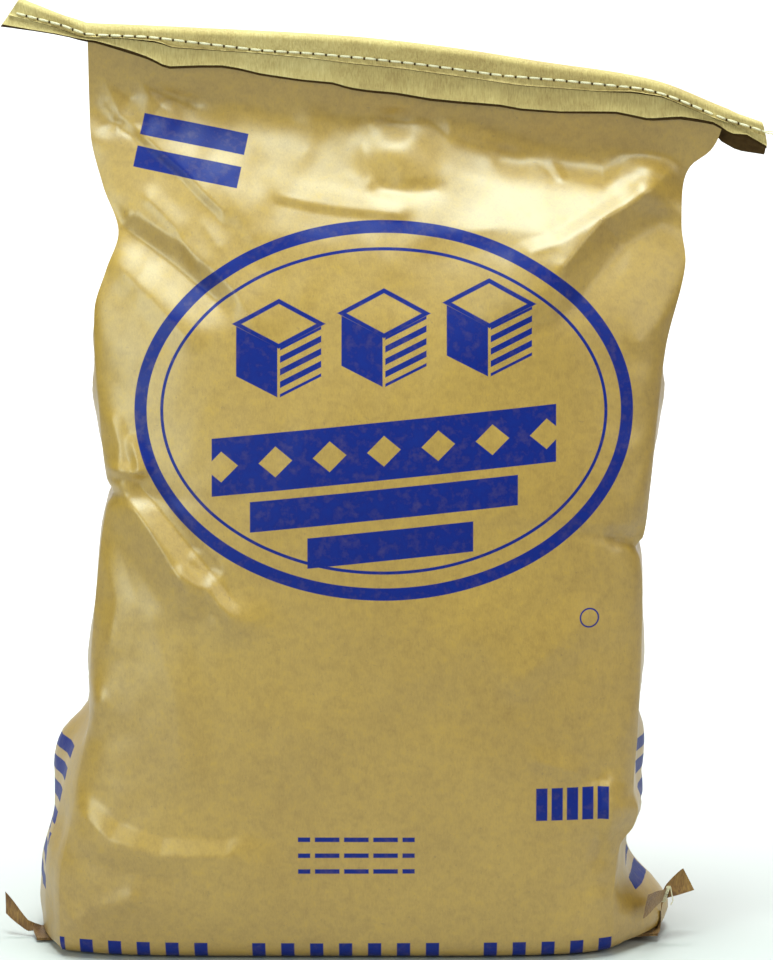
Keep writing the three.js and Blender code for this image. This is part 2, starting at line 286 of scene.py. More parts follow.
# Paper level, crown exponent, roundness of the edges
FULLNESS = [
    (0, 6, 0), (60, 4.6, 0.3), (130, 3.2, 0.7), (220, 2.7, 0.75), (420, 2.7, 0.75), (500, 3.0, 0.35),
    (560, 4, 0), (600, 4, 0),
]
# Place across, how much higher the crease under the empty top runs there
CREASE_RISE = [
    (-1, 6), (-0.5, 0), (-0.12, 2), (0.03, 14), (0.18, 2), (0.5, -8), (0.74, -4), (0.9, 14), (1, 16),
]
print("the form has", len(SIDE_VIEW), "stations from the base to the mouth")

# %% Smooth lines through the stations


def follow(stations, at, column=1):
    """The value of a column of stations at each place, on a smooth line through them."""
    table = np.array(stations, dtype=float)
    x, y = table[:, 0], table[:, column]
    slope = np.empty(len(x))
    slope[1:-1] = (y[2:] - y[:-2]) / (x[2:] - x[:-2])
    slope[0] = (y[1] - y[0]) / (x[1] - x[0])
    slope[-1] = (y[-1] - y[-2]) / (x[-1] - x[-2])
    place = np.clip(at, x[0], x[-1])
    i = np.clip(np.searchsorted(x, place, side="left") - 1, 0, len(x) - 2)
    span = x[i + 1] - x[i]
    f = (place - x[i]) / span
    g = 1 - f
    return (
        y[i] * g * g * (1 + 2 * f)
        + y[i + 1] * f * f * (3 - 2 * f)
        + slope[i] * span * f * g * g
        - slope[i + 1] * span * f * f * g
    )


def smoothstep(low, high, x):
    f = np.clip((x - low) / (high - low), 0, 1)
    return f * f * (3 - 2 * f)


def mix(a, b, f):
    return a + (b - a) * f


# %% The form itself


def moved_level(s, level):
    """The paper level, once the crease under the empty top has been moved up or down."""
    near = np.exp(-(((level - TOP_CREASE_LEVEL) / TOP_CREASE_REACH) ** 2))
    return level - follow(CREASE_RISE, s) * near


def middle_plane(s, level):
    """How far back the sack's middle is. The empty top waves, and leans forward."""
    wave = 2.2 * np.sin(5.3 * s + 0.6) + 1.2 * np.sin(11 * s)
    return follow(SIDE_VIEW, moved_level(s, level)) + wave * smoothstep(535, 590, level)


def across(s, level):
    """Where a place across the face is along X."""
    roundness = follow(FULLNESS, level, 2)
    eased = mix(s, s * (1.5 - 0.5 * s * s), roundness)
    return mix(follow(LEFT_EDGE, level), follow(RIGHT_EDGE, level), (eased + 1) / 2)


def base_lift(x):
    return CORNER_LIFT * smoothstep(150, 206, x)


def sack_form(s, w, level):
    """Points of the uncreased paper: s across the face, w from front to back, level up the paper."""
    z = level / SACK_LENGTH * follow(MOUTH_HEIGHT, s)
    moved = moved_level(s, level)
    crown = 1 - np.abs(s) ** follow(FULLNESS, level, 1)
    half = mix(follow(SIDE_VIEW, moved, 3), follow(SIDE_VIEW, moved, 2), crown)
    under = FOOT_RADIUS - np.sqrt(np.maximum(0, z * (2 * FOOT_RADIUS - z)))
    inset = np.where(z < FOOT_RADIUS, np.minimum(under, half * 0.6), 0)
    reach = np.where(s < 0, follow(GUSSET_REACH, level, 1), follow(GUSSET_REACH, level, 2))
    bulge = np.where(reach > 0, reach * (1 - w * w), reach * (1 - np.abs(w)))
    x = across(s, level) + np.sign(s) * np.abs(s) ** 12 * bulge
    x -= np.sign(s) * s * s * inset * FOOT_INSET_AT_EDGE
    y = middle_plane(s, level) + w * (half - inset)
    return np.stack([x, y, z + base_lift(x) * (1 - smoothstep(0, 80, z))], axis=1)


# %% [markdown]
# Cutting the paper
#
# A box is the right start, because a sack has a front, a back and two sides that meet along real fold
# lines. It is cut into a fine net by the subdivide operator while it is still square, so every vertex
# knows where on the paper it is, and only then moved onto the form.

# %% A square net for the paper
NET = (96, 16, 150)
sack = cut_box("sack_paper", NET)
print("the net has", len(sack.data.vertices), "corners")

# %% [markdown]
# Creases
#
# Stiff paper doesn't stretch, so where a full sack bends two ways the paper breaks into straight creases
# with flat facets beside them. Each crease is a line with a height, and with its own width on either
# side, since one flank is usually steeper. Their places are given in pixels of the photograph, because
# that is where they were read, and a crease reaches every vertex that lands near its line. Simulated
# cloth would make soft round wrinkles in places of its own, so the creases are listed one by one here.

# %% One crease
CREASE_STRENGTH = 1.6
STEEPEST = 0.58  # the usual slope of a flank at its steepest
ROUND_TOP = 0.8  # pixels
ROUND_FOOT = 0.12  # where a flank runs out into the paper, as a share of the height
FLANK_REACH = 1.5
FADE_REACH = 2.4  # where nothing is left of a crease, in reaches of its flank


def line_distance(u, v, points):
    """Distance of each place from a line, and its side: 1 on the right of the way, -1 on the left."""
    best = np.full(len(u), 1e9)
    side = np.ones(len(u))
    for (ax, ay), (bx, by) in zip(points, points[1:]):
        length = math.hypot(bx - ax, by - ay)
        along = ((u - ax) * (bx - ax) + (v - ay) * (by - ay)) / length
        right = ((v - ay) * (bx - ax) - (u - ax) * (by - ay)) / length
        gap = np.hypot(right, along - np.clip(along, 0, length))
        nearer = gap < best
        best = np.where(nearer, gap, best)
        side = np.where(nearer, right / np.maximum(gap, 1e-6), side)
    return best, side


def crease(u, v, points, height, right_width, left_width):
    """The height that a crease adds: two flat flanks that meet in a line and run out into the paper."""
    gap, side = line_distance(u, v, points)
    reach = FLANK_REACH * mix(left_width, right_width, (side + 1) / 2)
    limit = STEEPEST * PIXEL * math.sqrt(right_width * left_width)
    height = math.copysign(min(abs(height) * CREASE_STRENGTH, limit), height)
    across_it = np.sqrt(gap * gap + ROUND_TOP * ROUND_TOP) - ROUND_TOP
    flank = 1 - across_it / reach
    flank = 0.5 * (flank + np.sqrt(flank * flank + ROUND_FOOT * ROUND_FOOT))
    return height * flank * np.exp(-((across_it / (FADE_REACH * reach)) ** 4))


def dent(u, v, centre, reach, height, turn=0.0):
    """A soft round bump, or a dent where the height is negative."""
    du, dv = u - centre[0], v - centre[1]
    a = math.radians(turn)
    along = (du * math.cos(a) + dv * math.sin(a)) / reach[0]
    over = (dv * math.cos(a) - du * math.sin(a)) / reach[1]
    return height * np.exp(-along * along - over * over)


# %% The creases of the front
# Each has its line, its height in millimetres, and the widths of its right and left flanks in pixels
FRONT_CREASES = [
    # The valley where the flat fin under the tape meets the top of the filling
    (
        [(176, 84), (214, 92), (250, 104), (290, 119), (312, 121), (336, 115), (370, 117), (392, 113)],
        -1.1, 26, 14,
    ),
    ([(392, 113), (406, 106), (420, 104), (434, 114), (450, 131), (470, 144), (510, 149)], -2.2, 20, 10),
    (
        [(510, 149), (540, 156), (580, 163), (602, 167), (622, 161), (642, 147), (662, 137), (690, 131)],
        -4.5, 16, 9,
    ),
    # Upper left, where the fin opens into the body
    ([(113, 62), (140, 84), (164, 108)], 2.2, 20, 9),
    ([(96, 70), (112, 96), (120, 116)], 1.6, 12, 14),
    ([(126, 74), (150, 88), (190, 100)], -1.4, 10, 10),
    ([(94, 130), (116, 121), (131, 125)], -2.4, 8, 14),
    ([(104, 84), (116, 104), (126, 121), (146, 134)], 1.2, 6, 14),
    ([(133, 125), (160, 148), (189, 173), (206, 192), (222, 208)], 1.7, 6, 30),
    ([(116, 118), (106, 102)], 0.7, 4, 5),
    ([(98, 72), (130, 98)], -2.0, 12, 12),
    ([(185, 161), (230, 170), (272, 177), (330, 190), (393, 202)], 1.0, 60, 30),
    ([(285, 197), (312, 203), (338, 207), (398, 213)], 1.1, 5, 14),
    ([(204, 226), (218, 246)], 0.3, 3, 5),
    ([(150, 200), (176, 226), (196, 262)], 0.8, 5, 10),
    ([(232, 196), (250, 232), (262, 252)], 0.5, 8, 12),
    # The pinch on the left edge, and the valley that runs from it
    ([(112, 230), (122, 222), (128, 216)], 4.0, 5, 9),
    ([(120, 226), (140, 240), (176, 268), (214, 300)], -3.4, 22, 14),
    ([(140, 218), (186, 244), (236, 292), (252, 316)], 1.4, 12, 24),
    ([(114, 262), (150, 296), (186, 336)], 1.3, 12, 16),
    ([(262, 250), (282, 268)], 0.3, 5, 5),
    # The fold on the left edge, half way down
    ([(104, 466), (120, 470), (136, 471)], 5.0, 5, 16),
    ([(133, 444), (140, 470)], 1.4, 5, 8),
    ([(112, 420), (120, 446), (118, 466)], 1.4, 8, 8),
    ([(119, 486), (150, 528), (189, 592)], 5.0, 20, 18),
    ([(140, 486), (174, 528), (208, 570)], -3.6, 11, 9),
    ([(182, 574), (206, 588), (228, 612)], 2.2, 8, 8),
    ([(196, 560), (212, 582), (218, 604)], 1.4, 6, 8),
    ([(104, 560), (116, 600), (110, 644)], 1.8, 12, 12),
    # Low on the left
    ([(86, 688), (96, 702), (92, 724)], 2.6, 8, 9),
    ([(92, 690), (80, 716), (70, 744)], 1.4, 10, 10),
    ([(75, 806), (110, 838), (160, 855), (226, 856)], 2.8, 64, 11),
    ([(66, 850), (110, 868), (170, 880)], -1.6, 14, 14),
    ([(56, 902), (80, 926)], 2.2, 8, 9),
    ([(58, 930), (96, 906), (130, 900)], 1.4, 8, 8),
    # The crest at the upper right, where the face breaks towards the side
    ([(692, 131), (688, 150), (668, 171), (636, 197), (600, 217), (562, 262)], 14.0, 88, 24),
    ([(640, 190), (600, 216), (560, 240), (530, 250)], 1.8, 8, 18),
    ([(548, 156), (560, 176)], 1.0, 4, 5),
    ([(664, 158), (680, 150)], 1.2, 4, 5),
    # The rolled corner beside the crest
    ([(691, 128), (690, 140), (686, 154)], 1.8, 3, 6),
    ([(700, 130), (711, 136), (709, 148)], 1.6, 4, 3),
    # Near the middle of the empty top
    ([(362, 146), (366, 166), (369, 184)], 0.35, 7, 4),
    ([(369, 184), (360, 188), (352, 180)], 0.3, 5, 5),
    ([(382, 190), (408, 194), (436, 190)], -0.9, 9, 9),
    ([(370, 128), (384, 132), (396, 124)], 0.25, 5, 6),
    ([(430, 236), (500, 226), (556, 232)], 1.2, 14, 20),
    # The right edge, and the bulge low on the right
    ([(648, 530), (634, 536), (616, 538)], -2.4, 8, 8),
    ([(690, 300), (664, 316), (640, 340)], 1.2, 14, 12),
    ([(596, 780), (610, 778), (622, 782), (642, 778)], -1.1, 5, 12),
    ([(609, 786), (612, 812), (609, 838)], 3.6, 6, 16),
    ([(616, 888), (612, 904), (609, 914)], -1.8, 5, 6),
    ([(640, 836), (616, 836), (604, 844), (598, 858)], -5.0, 8, 9),
    ([(642, 866), (624, 846), (610, 850)], 3.0, 6, 8),
    ([(660, 926), (636, 900), (612, 884)], -2.6, 9, 10),
    ([(650, 940), (634, 918), (600, 898)], 2.2, 8, 12),
    # Long faint facets over the filled body
    ([(585, 620), (552, 650), (520, 680)], 1.2, 20, 16),
    ([(540, 762), (575, 772)], 0.9, 8, 10),
    ([(470, 640), (380, 700), (300, 736)], 0.7, 30, 26),
    ([(150, 620), (176, 700), (180, 770)], 1.0, 24, 22),
]
# The lower edge of the flat flap under the tape, where the relief of the right half starts
FLAP_EDGE = [
    (400, 60), (430, 100), (450, 130), (510, 148), (580, 162), (602, 167), (642, 147), (690, 131), (730, 126),
]
FRONT_DENTS = [
    # Centre and reach in pixels, height in millimetres, turn in degrees
    ((402, 188), (40, 9), -1.0, 0),
    ((236, 620), (26, 18), 4.2, 0),
    ((556, 312), (112, 66), 9.0, -14),
    ((330, 250), (90, 40), 2.4, 6),
    ((216, 330), (56, 46), 3.0, 30),
    ((100, 700), (12, 16), 2.4, 0),
    ((620, 804), (26, 28), 3.6, 0),
    ((590, 900), (34, 18), -2.2, 30),
    ((404, 134), (34, 12), 0.8, 6),
    ((150, 760), (40, 50), -1.8, 0),
    ((420, 700), (90, 50), -1.0, 10),
    ((250, 420), (60, 90), -1.0, -10),
    ((560, 420), (50, 100), 1.0, 0),
    ((330, 300), (70, 40), 0.9, 12),
    ((500, 560), (70, 40), -0.8, -12),
]
print("the front has", len(FRONT_CREASES), "creases and", len(FRONT_DENTS), "soft dents")

# %% The creases of the back, and of both sides
# The camera doesn't see these, so they follow the same habits in places of their own
BACK_CREASES = [
    ([(640, 96), (600, 132), (560, 176), (536, 214)], 2.6, 26, 10),
    ([(110, 96), (150, 140), (204, 196), (250, 230)], 5.0, 44, 22),
    ([(676, 244), (620, 262), (570, 292)], -3.2, 12, 12),
    ([(640, 470), (606, 474)], 3.0, 16, 6),
    ([(620, 490), (584, 540), (556, 596)], 2.8, 18, 10),
    ([(104, 350), (140, 368)], 2.0, 8, 12),
    ([(98, 560), (136, 596), (176, 650)], 2.2, 14, 12),
    ([(660, 700), (620, 712)], 2.0, 10, 10),
    ([(640, 820), (580, 846), (500, 850)], 2.0, 14, 16),
    ([(70, 836), (120, 852), (190, 862)], 2.2, 14, 14),
    ([(380, 150), (376, 190)], 1.0, 6, 8),
    ([(300, 640), (380, 700), (440, 740)], 0.6, 28, 24),
    ([(250, 300), (310, 340), (350, 400)], 0.6, 26, 22),
]
BACK_DENTS = [
    ((380, 200), (60, 10), -1.6, -4),
    ((250, 700), (80, 60), -1.0, 0),
    ((480, 420), (70, 90), 1.0, 0),
    ((300, 480), (60, 70), -0.8, 0),
]
# On the sides, u is the depth and v the height, both in millimetres
SIDE_CREASES = [
    ([(0, 545), (4, 480), (-6, 400), (2, 320)], -3.0, 12, 12),
    ([(-60, 300), (-10, 296), (30, 306), (58, 302)], -2.2, 6, 12),
    ([(-50, 372), (0, 352), (46, 362)], 1.4, 12, 10),
    ([(-62, 150), (-20, 158), (24, 146), (60, 152)], -2.4, 8, 10),
    ([(0, 6), (14, 60), (-4, 120), (8, 200)], 1.8, 16, 16),
    ([(-56, 60), (-16, 96), (10, 130)], 1.6, 12, 14),
    ([(54, 40), (30, 92), (-8, 132)], 1.6, 14, 12),
    ([(-59, 12), (-60, 60), (-58, 112)], -3.5, 7, 7),
]
print("the back has", len(BACK_CREASES), "creases, and each side", len(SIDE_CREASES))

# %% [markdown]
# Small crumples
#
# Besides the named creases, handled paper is covered in faint flat facets that meet in straight folds.
# A few families of parallel folds, each at its own slant and each fading in and out over the sheet, cross
# each other into such facets. They are stronger near the edges and the top, and almost gone over the
# middle, where the sugar holds the paper out.

# %% Crumples


def facets(u, v, longest, seed, height, count=9):
    """Flat facets between straight folds, about as high as the given height."""
    draw = np.random.default_rng(seed)
    total = np.zeros(len(u))
    for family in range(count):
        slant = draw.uniform(0, math.pi)
        pitch = longest * draw.uniform(0.45, 1.0)
        turns = (u * math.cos(slant) + v * math.sin(slant)) / pitch + draw.uniform(0, 1)
        turns = turns + 0.16 * waves(u, v, 2.2 * longest, seed + 50 + family, 5)
        fold = 1 - np.abs(2 * (turns - np.floor(turns)) - 1)
        strength = np.clip(0.1 + 0.8 * waves(u, v, 1.6 * longest, seed + family, 6), 0, 1.4)
        total += fold * strength * pitch / longest
    return height * (total - total.mean())


def waves(u, v, length, seed, count=14):
    """Slow uneven waves, about one high."""
    draw = np.random.default_rng(seed)
    total = np.zeros(len(u))
    for _ in range(count):
        way = draw.uniform(0, 2 * math.pi)
        phase = draw.uniform(0, 2 * math.pi)
        pitch = length * draw.uniform(0.7, 1.6)
        total += np.sin((u * math.cos(way) + v * math.sin(way)) * 2 * math.pi / pitch + phase)
    return total / math.sqrt(count / 2)


# %% Move the net onto the form
DENSER_AT_EDGES = 0.35
FACES_CUT_AGAIN = 3500
GROOVE_FRONT, GROOVE_BACK, GROOVE_DEPTH = -41, -7, 4  # the channel under the base for the seam
GROOVE_EASE = (4, 1)  # how far outside and inside its edge each wall of the channel reaches
FIN_LEVEL, FIN_RISE_AT_LEFT, FIN_BLEND = 548, 9, 16
FLAP_BLEND = (-8, 22)  # pixels below the flap's edge
FOOT_BLEND = (2, 26)
NEAR_EDGE, NEAR_TOP = (0.5, 0.97), (380, 520)  # where the paper is loose: share across, and height
MIRROR_SHIFT = 20  # twice the way from the middle of the picture to the middle of the sack, in pixels
COARSE_FACETS = {"longest": 88, "seed": 5, "height": 1.15}
FINE_FACETS = {"longest": 40, "seed": 9, "height": 0.55}
SIDE_FACETS = {"longest": 60, "seed": 11, "height": 0.9}
SLOW_WAVES, SLOW_WAVE_HEIGHT = {"length": 150, "seed": 3}, 0.9
SIDE_WAVES, SIDE_WAVE_HEIGHT = {"length": 90, "seed": 12}, 0.8


def paper_places(net):
    """s, w and level of every corner of the square net."""
    s = mix(net[:, 0], np.sin(net[:, 0] * math.pi / 2), DENSER_AT_EDGES)
    return s, net[:, 1], (net[:, 2] + 1) / 2 * SACK_LENGTH


def wall_relief(net, smooth_form):
    """How each corner moves away from the uncreased paper, in millimetres, as rows of X, Y and Z."""
    s, w, level = paper_places(net)
    px, py = seen_at(smooth_form)
    x, y, z = smooth_form.T
    front = smoothstep(-0.2, -1, w)
    back = smoothstep(0.2, 1, w)
    side = smoothstep(0.94, 1, np.abs(s)) * (1 - smoothstep(0.75, 1, np.abs(w)))
    fin_start = FIN_LEVEL + FIN_RISE_AT_LEFT * smoothstep(-0.55, -0.85, s)
    fin = 1 - smoothstep(fin_start, fin_start + FIN_BLEND, level)
    foot = smoothstep(*FOOT_BLEND, z)
    to_front = sum(crease(px, py, *item) for item in FRONT_CREASES)
    to_front = to_front + sum(dent(px, py, *item) for item in FRONT_DENTS)
    flap = np.array(FLAP_EDGE, dtype=float)
    to_front = to_front * smoothstep(*FLAP_BLEND, py - np.interp(px, flap[:, 0], flap[:, 1]))
    mirrored = PICTURE_WIDTH - px + MIRROR_SHIFT
    to_back = sum(crease(mirrored, py, *item) for item in BACK_CREASES)
    to_back = to_back + sum(dent(mirrored, py, *item) for item in BACK_DENTS)
    to_side = sum(crease(y, z, *item) for item in SIDE_CREASES)
    near_edge = smoothstep(*NEAR_EDGE, np.abs(s))
    loose = 0.25 + 0.75 * np.maximum(near_edge, smoothstep(*NEAR_TOP, z))
    fine = facets(x, z, **COARSE_FACETS) + facets(x, z, **FINE_FACETS)
    slow = waves(x, z, **SLOW_WAVES) * SLOW_WAVE_HEIGHT
    body = (fine * loose + slow * (0.4 + 0.6 * loose)) * foot
    out_front = (to_front * foot + body) * fin
    out_back = (to_back * foot + body) * fin
    side_fine = facets(y, z, **SIDE_FACETS) + waves(y, z, **SIDE_WAVES) * SIDE_WAVE_HEIGHT
    out_side = (to_side + side_fine) * fin * foot
    shallow = 1 - np.abs(s) ** 14
    move = np.zeros((len(net), 3))
    move[:, 1] = (-out_front * front + out_back * back) * shallow
    move[:, 0] = np.sign(s) * out_side * side
    return move


def refine_net(count=None):
    """Cuts faces of the front once more: all of them, or the given number where the creases turn most."""
    net = corners(sack)
    height = wall_relief(net, sack_form(*paper_places(net)))[:, 1]
    mesh = edit(sack)
    turn = np.zeros(len(net))
    for corner in mesh.verts:
        beside = [edge.other_vert(corner).index for edge in corner.link_edges]
        turn[corner.index] = abs(height[beside].mean() - height[corner.index])
    front = [face for face in mesh.faces if all(net[corner.index, 1] < -0.99 for corner in face.verts)]
    front.sort(key=lambda face: -max(turn[corner.index] for corner in face.verts))
    for face in front[:count]:
        face.select = True
    bmesh.update_edit_mesh(sack.data)
    bpy.ops.mesh.subdivide(number_cuts=1)
    leave_edit()


def shape_sack():
    net = corners(sack)
    s, w, level = paper_places(net)
    form = sack_form(s, w, level)
    places = form + wall_relief(net, form)
    under = level < 1e-6
    outside, inside = GROOVE_EASE
    groove = smoothstep(GROOVE_FRONT - outside, GROOVE_FRONT + inside, places[:, 1])
    groove = groove * (1 - smoothstep(GROOVE_BACK - inside, GROOVE_BACK + outside, places[:, 1]))
    places[:, 2] += np.where(under, groove * GROOVE_DEPTH, 0)
    move_corners(sack, places * MM)
    return form, s, w, level


refine_net()
refine_net(FACES_CUT_AGAIN)
form, s_place, w_place, level_place = shape_sack()
paper = corners(sack)
print("the paper runs from", np.round(paper.min(axis=0), 3), "to", np.round(paper.max(axis=0), 3))

# %% [markdown]
# Where the print goes
#
# The pattern is printed on flat paper, so it needs flat coordinates that were there before the creases.
# The UV map holds them, in metres. The front and the back carry the same print, so both lie in the same
# place, and so do the two sides, two metres away. The base carries on below the front.

# %% Print coordinates
SIDE_AT, PLAIN_AT = 2.0, 4.0
FRONT_FOOT = -0.068


def map_print():
    layer = sack.data.uv_layers.new(name="print")
    loops = np.zeros(len(sack.data.loops), dtype=int)
    sack.data.loops.foreach_get("vertex_index", loops)
    flat = np.zeros((len(loops), 2))
    x, y, z = (form * MM).T
    for face in sack.data.polygons:
        rows = slice(face.loop_start, face.loop_start + face.loop_total)
        own = loops[rows]
        if level_place[own].max() < 1e-6:
            flat[rows] = np.stack([x[own], FRONT_FOOT - y[own]], axis=1)
        elif w_place[own].max() < -0.999:
            flat[rows] = np.stack([x[own], z[own]], axis=1)
        elif w_place[own].min() > 0.999:
            flat[rows] = np.stack([-x[own], z[own]], axis=1)
        elif abs(s_place[own]).min() > 0.999:
            flat[rows] = np.stack([SIDE_AT + y[own], z[own]], axis=1)
        else:
            flat[rows] = np.stack([PLAIN_AT + x[own], z[own]], axis=1)
    layer.data.foreach_set("uv", flat.ravel())


map_print()
settle(sack, "sack_paper")
smooth(sack, PAPER_ANGLE)

# %% [markdown]
# Writing shaders as sums
#
# A finish is mostly arithmetic on where a point is: how far from a line, inside which ring, how rough.
# Wrapping a socket in a small class lets that arithmetic be written as it would be on paper, and each
# operator adds its own Math node. Any other node comes from one method of the finish.

# %% A socket that arithmetic works on


class Reading:
    """One number that varies over the surface, held by a node's socket."""

    def __init__(self, finish, socket):
        self.finish = finish
        self.socket = socket

    def math(self, operation, *others):
        node = self.finish.node("ShaderNodeMath", {"operation": operation}, {})
        for place, value in enumerate((self, *others)):
            self.finish.feed(node.inputs[place], value)
        return Reading(self.finish, node.outputs[0])

    def __add__(self, other):
        return self.math("ADD", other)

    __radd__ = __add__

    def __sub__(self, other):
        return self.math("SUBTRACT", other)

    def __rsub__(self, other):
        return (self * -1) + other

    def __mul__(self, other):
        return self.math("MULTIPLY", other)

    __rmul__ = __mul__

    def __truediv__(self, other):
        return self.math("DIVIDE", other)

    def __abs__(self):
        return self.math("ABSOLUTE")

    def least(self, other):
        return self.math("MINIMUM", other)

    def most(self, other):
        return self.math("MAXIMUM", other)

    def within(self, low, high):
        return self.most(low).least(high)

    def root(self):
        return self.math("SQRT")

    def sine(self):
        return self.math("SINE")

    def step(self, low, high):
        """0 below low, 1 above high, eased between; low may be the larger one."""
        sockets = {"Value": self, "From Min": low, "From Max": high, "To Min": 0.0, "To Max": 1.0}
        node = self.finish.node("ShaderNodeMapRange", {"interpolation_type": "SMOOTHSTEP"}, sockets)
        return Reading(self.finish, node.outputs[0])


class Finish:
    """A material being built: nodes go in by one method, and constants straight onto the shader."""

    def __init__(self, name, **constants):
        self.material = bpy.data.materials.new(name)
        self.material.use_nodes = True
        self.tree = self.material.node_tree
        self.shader = self.tree.nodes["Principled BSDF"]
        for socket, value in constants.items():
            self.shader.inputs[socket.replace("_", " ")].default_value = value

    def feed(self, socket, value):
        if isinstance(value, Reading):
            self.tree.links.new(value.socket, socket)
        elif isinstance(value, bpy.types.NodeSocket):
            self.tree.links.new(value, socket)
        else:
            socket.default_value = value

    def node(self, kind, settings, sockets):
        node = self.tree.nodes.new(kind)
        for name, value in settings.items():
            setattr(node, name, value)
        for name, value in sockets.items():
            self.feed(node.inputs[name], value)
        return node

    def coordinates(self, kind="Object"):
        return self.node("ShaderNodeTexCoord", {}, {}).outputs[kind]

    def axes(self, vector):
        parts = self.node("ShaderNodeSeparateXYZ", {}, {"Vector": vector})
        return [Reading(self, socket) for socket in parts.outputs]

    def stretched(self, vector, scale):
        return self.node("ShaderNodeMapping", {}, {"Vector": vector, "Scale": scale}).outputs[0]

    def noise(self, vector, scale, detail=2.0, roughness=0.5):
        sockets = {"Vector": vector, "Scale": scale, "Detail": detail, "Roughness": roughness}
        return Reading(self, self.node("ShaderNodeTexNoise", {}, sockets).outputs[0])

    def blend(self, amount, low, high):
        """A colour between two others."""
        node = self.node("ShaderNodeMix", {"data_type": "RGBA"}, {})
        self.feed(node.inputs[0], amount)
        self.feed(node.inputs[6], low)
        self.feed(node.inputs[7], high)
        return node.outputs[2]

    def bump(self, height, strength, distance, below=None):
        sockets = {"Height": height, "Strength": strength, "Distance": distance}
        if below is not None:
            sockets["Normal"] = below
        return self.node("ShaderNodeBump", {}, sockets).outputs[0]

    def wear(self, **links):
        for socket, value in links.items():
            self.feed(self.shader.inputs[socket.replace("_", " ")], value)
        return self.material


def colour(red, green, blue):
    """A colour as a painter reads it off, 0 to 255, turned into the linear light that shaders use."""
    def linear(v):
        v = v / 255
        return v / 12.92 if v <= 0.04045 else ((v + 0.055) / 1.055) ** 2.4

    return (linear(red), linear(green), linear(blue), 1.0)


# %% [markdown]
# The print
#
# The ink is a plain design of this lesson's own: an oval of two lines, a row of three cubes, a ribbon with
# diamonds left bare in it, and a few bars. Each shape is a distance: how far a place is outside an oval, a
# bar or a diamond. Ink covers where that distance is below zero, over an edge a third of a millimetre
# wide, so it stays crisp at any size. Shapes that repeat are drawn once, with a coordinate that starts
# again at every pitch.

# %% Shapes as distances
INK_EDGE = 0.0003


def bar(u, v, width, height):
    """Distance outside a bar round the origin, in metres."""
    return (abs(u) - width / 2).most(abs(v) - height / 2)


def oval(u, v, width, height):
    """Distance outside an oval round the origin, close to true near its line."""
    du, dv = u / (width / 2), v / (height / 2)
    reach = (du * du + dv * dv).root()
    steep_u, steep_v = du / (width / 2), dv / (height / 2)
    slope = (steep_u * steep_u + steep_v * steep_v).root()
    return (reach - 1) * reach / slope


def diamond(u, v, width, height):
    return (abs(u) / (width / 2) + abs(v) / (height / 2) - 1) * (min(width, height) * 0.35)


def ring(distance, width):
    return abs(distance) - width / 2


def repeated(value, pitch):
    """The same value, starting again at every pitch, with zero in the middle of each."""
    return value - ((value / pitch) + 0.5).math("FLOOR") * pitch


def ink(distance):
    return distance.step(INK_EDGE, -INK_EDGE)


# %% The drawing
BADGE = (0.0245, 0.355)
OVAL = (0.306, 0.227)
OUTER_LINE, INNER_LINE, LINE_GAP = 0.0078, 0.0020, 0.0135
CLIMB = 0.10  # how much the rows inside the oval rise towards the right
CUBE, CUBE_PITCH, CUBE_ROW = 0.055, 0.066, 0.046
CUBE_RIM = 0.0022
RIBBON, RIBBON_DROP = (0.216, 0.036), 0.024
DIAMOND, DIAMOND_PITCH = (0.021, 0.019), 0.034
WIDE_BAR, WIDE_BAR_DROP = (0.168, 0.019), 0.057
SHORT_BAR, SHORT_BAR_DROP, SHORT_BAR_SHIFT = (0.104, 0.019), 0.083, 0.004
CORNER_BARS = {"at": (-0.098, 0.515), "size": (0.066, 0.0135), "pitch": 0.021, "slant": 0.2, "reach": 0.019}
RING = {"at": (0.154, 0.225), "size": 0.0115, "line": 0.0010}
BLOCKS = {"at": (0.144, 0.106), "size": (0.0072, 0.021), "pitch": 0.0098, "row": 0.049}
FINE_LINES = {"at": (0.007, 0.0735), "size": (0.0156, 0.0030), "pitch": (0.0185, 0.0105)}
FINE_FIELD = (0.074, 0.030)
FOOT_BARS = {"drop": 0.006, "size": (0.0085, 0.040), "pitch": 0.0185, "row": 0.370}
FOOT_GAPS = {"at": 0.074, "pitch": 0.148, "half": 0.008}
SIDE_BLOCKS = {"at": (-0.020, 0.085), "size": (0.050, 0.0085), "pitch": 0.0145, "row": 0.103}


def draw_cube(u, v, size):
    """A cube seen from a corner: an inked left wall, a striped right wall and a bare top with a rim."""
    half = size / 2
    wall = size * 0.56
    lean = v - abs(u) * 0.5
    walls = (abs(abs(u) - half / 2) - half * 0.47).most((abs(lean + wall / 2) - wall / 2) * 0.87)
    stripes = abs(repeated(lean, size * 0.14)) - size * 0.036
    top = diamond(u, v - half * 0.5 - 0.001, size * 0.96, size * 0.5)
    return walls.most(stripes.least(u)).least(ring(top, CUBE_RIM))


def draw_badge(u, v):
    """The oval and what is in it."""
    u = u - BADGE[0]
    v = v - BADGE[1]
    line = oval(u, v, *OVAL)
    shapes = ring(line, OUTER_LINE).least(ring(line + LINE_GAP, INNER_LINE))
    across_row = repeated(u, CUBE_PITCH)
    climb = (u - across_row) * CLIMB
    cubes = draw_cube(across_row, v - climb - CUBE_ROW, CUBE).most(abs(u) - 1.5 * CUBE_PITCH)
    slanted = v - u * CLIMB
    gaps = diamond(repeated(u, DIAMOND_PITCH), slanted + RIBBON_DROP, *DIAMOND)
    ribbon = bar(u, slanted + RIBBON_DROP, *RIBBON).most(gaps * -1)
    wide = bar(u, slanted + WIDE_BAR_DROP, *WIDE_BAR)
    short = bar(u - SHORT_BAR_SHIFT, slanted + SHORT_BAR_DROP, *SHORT_BAR)
    return shapes.least(cubes).least(ribbon).least(wide.least(short))


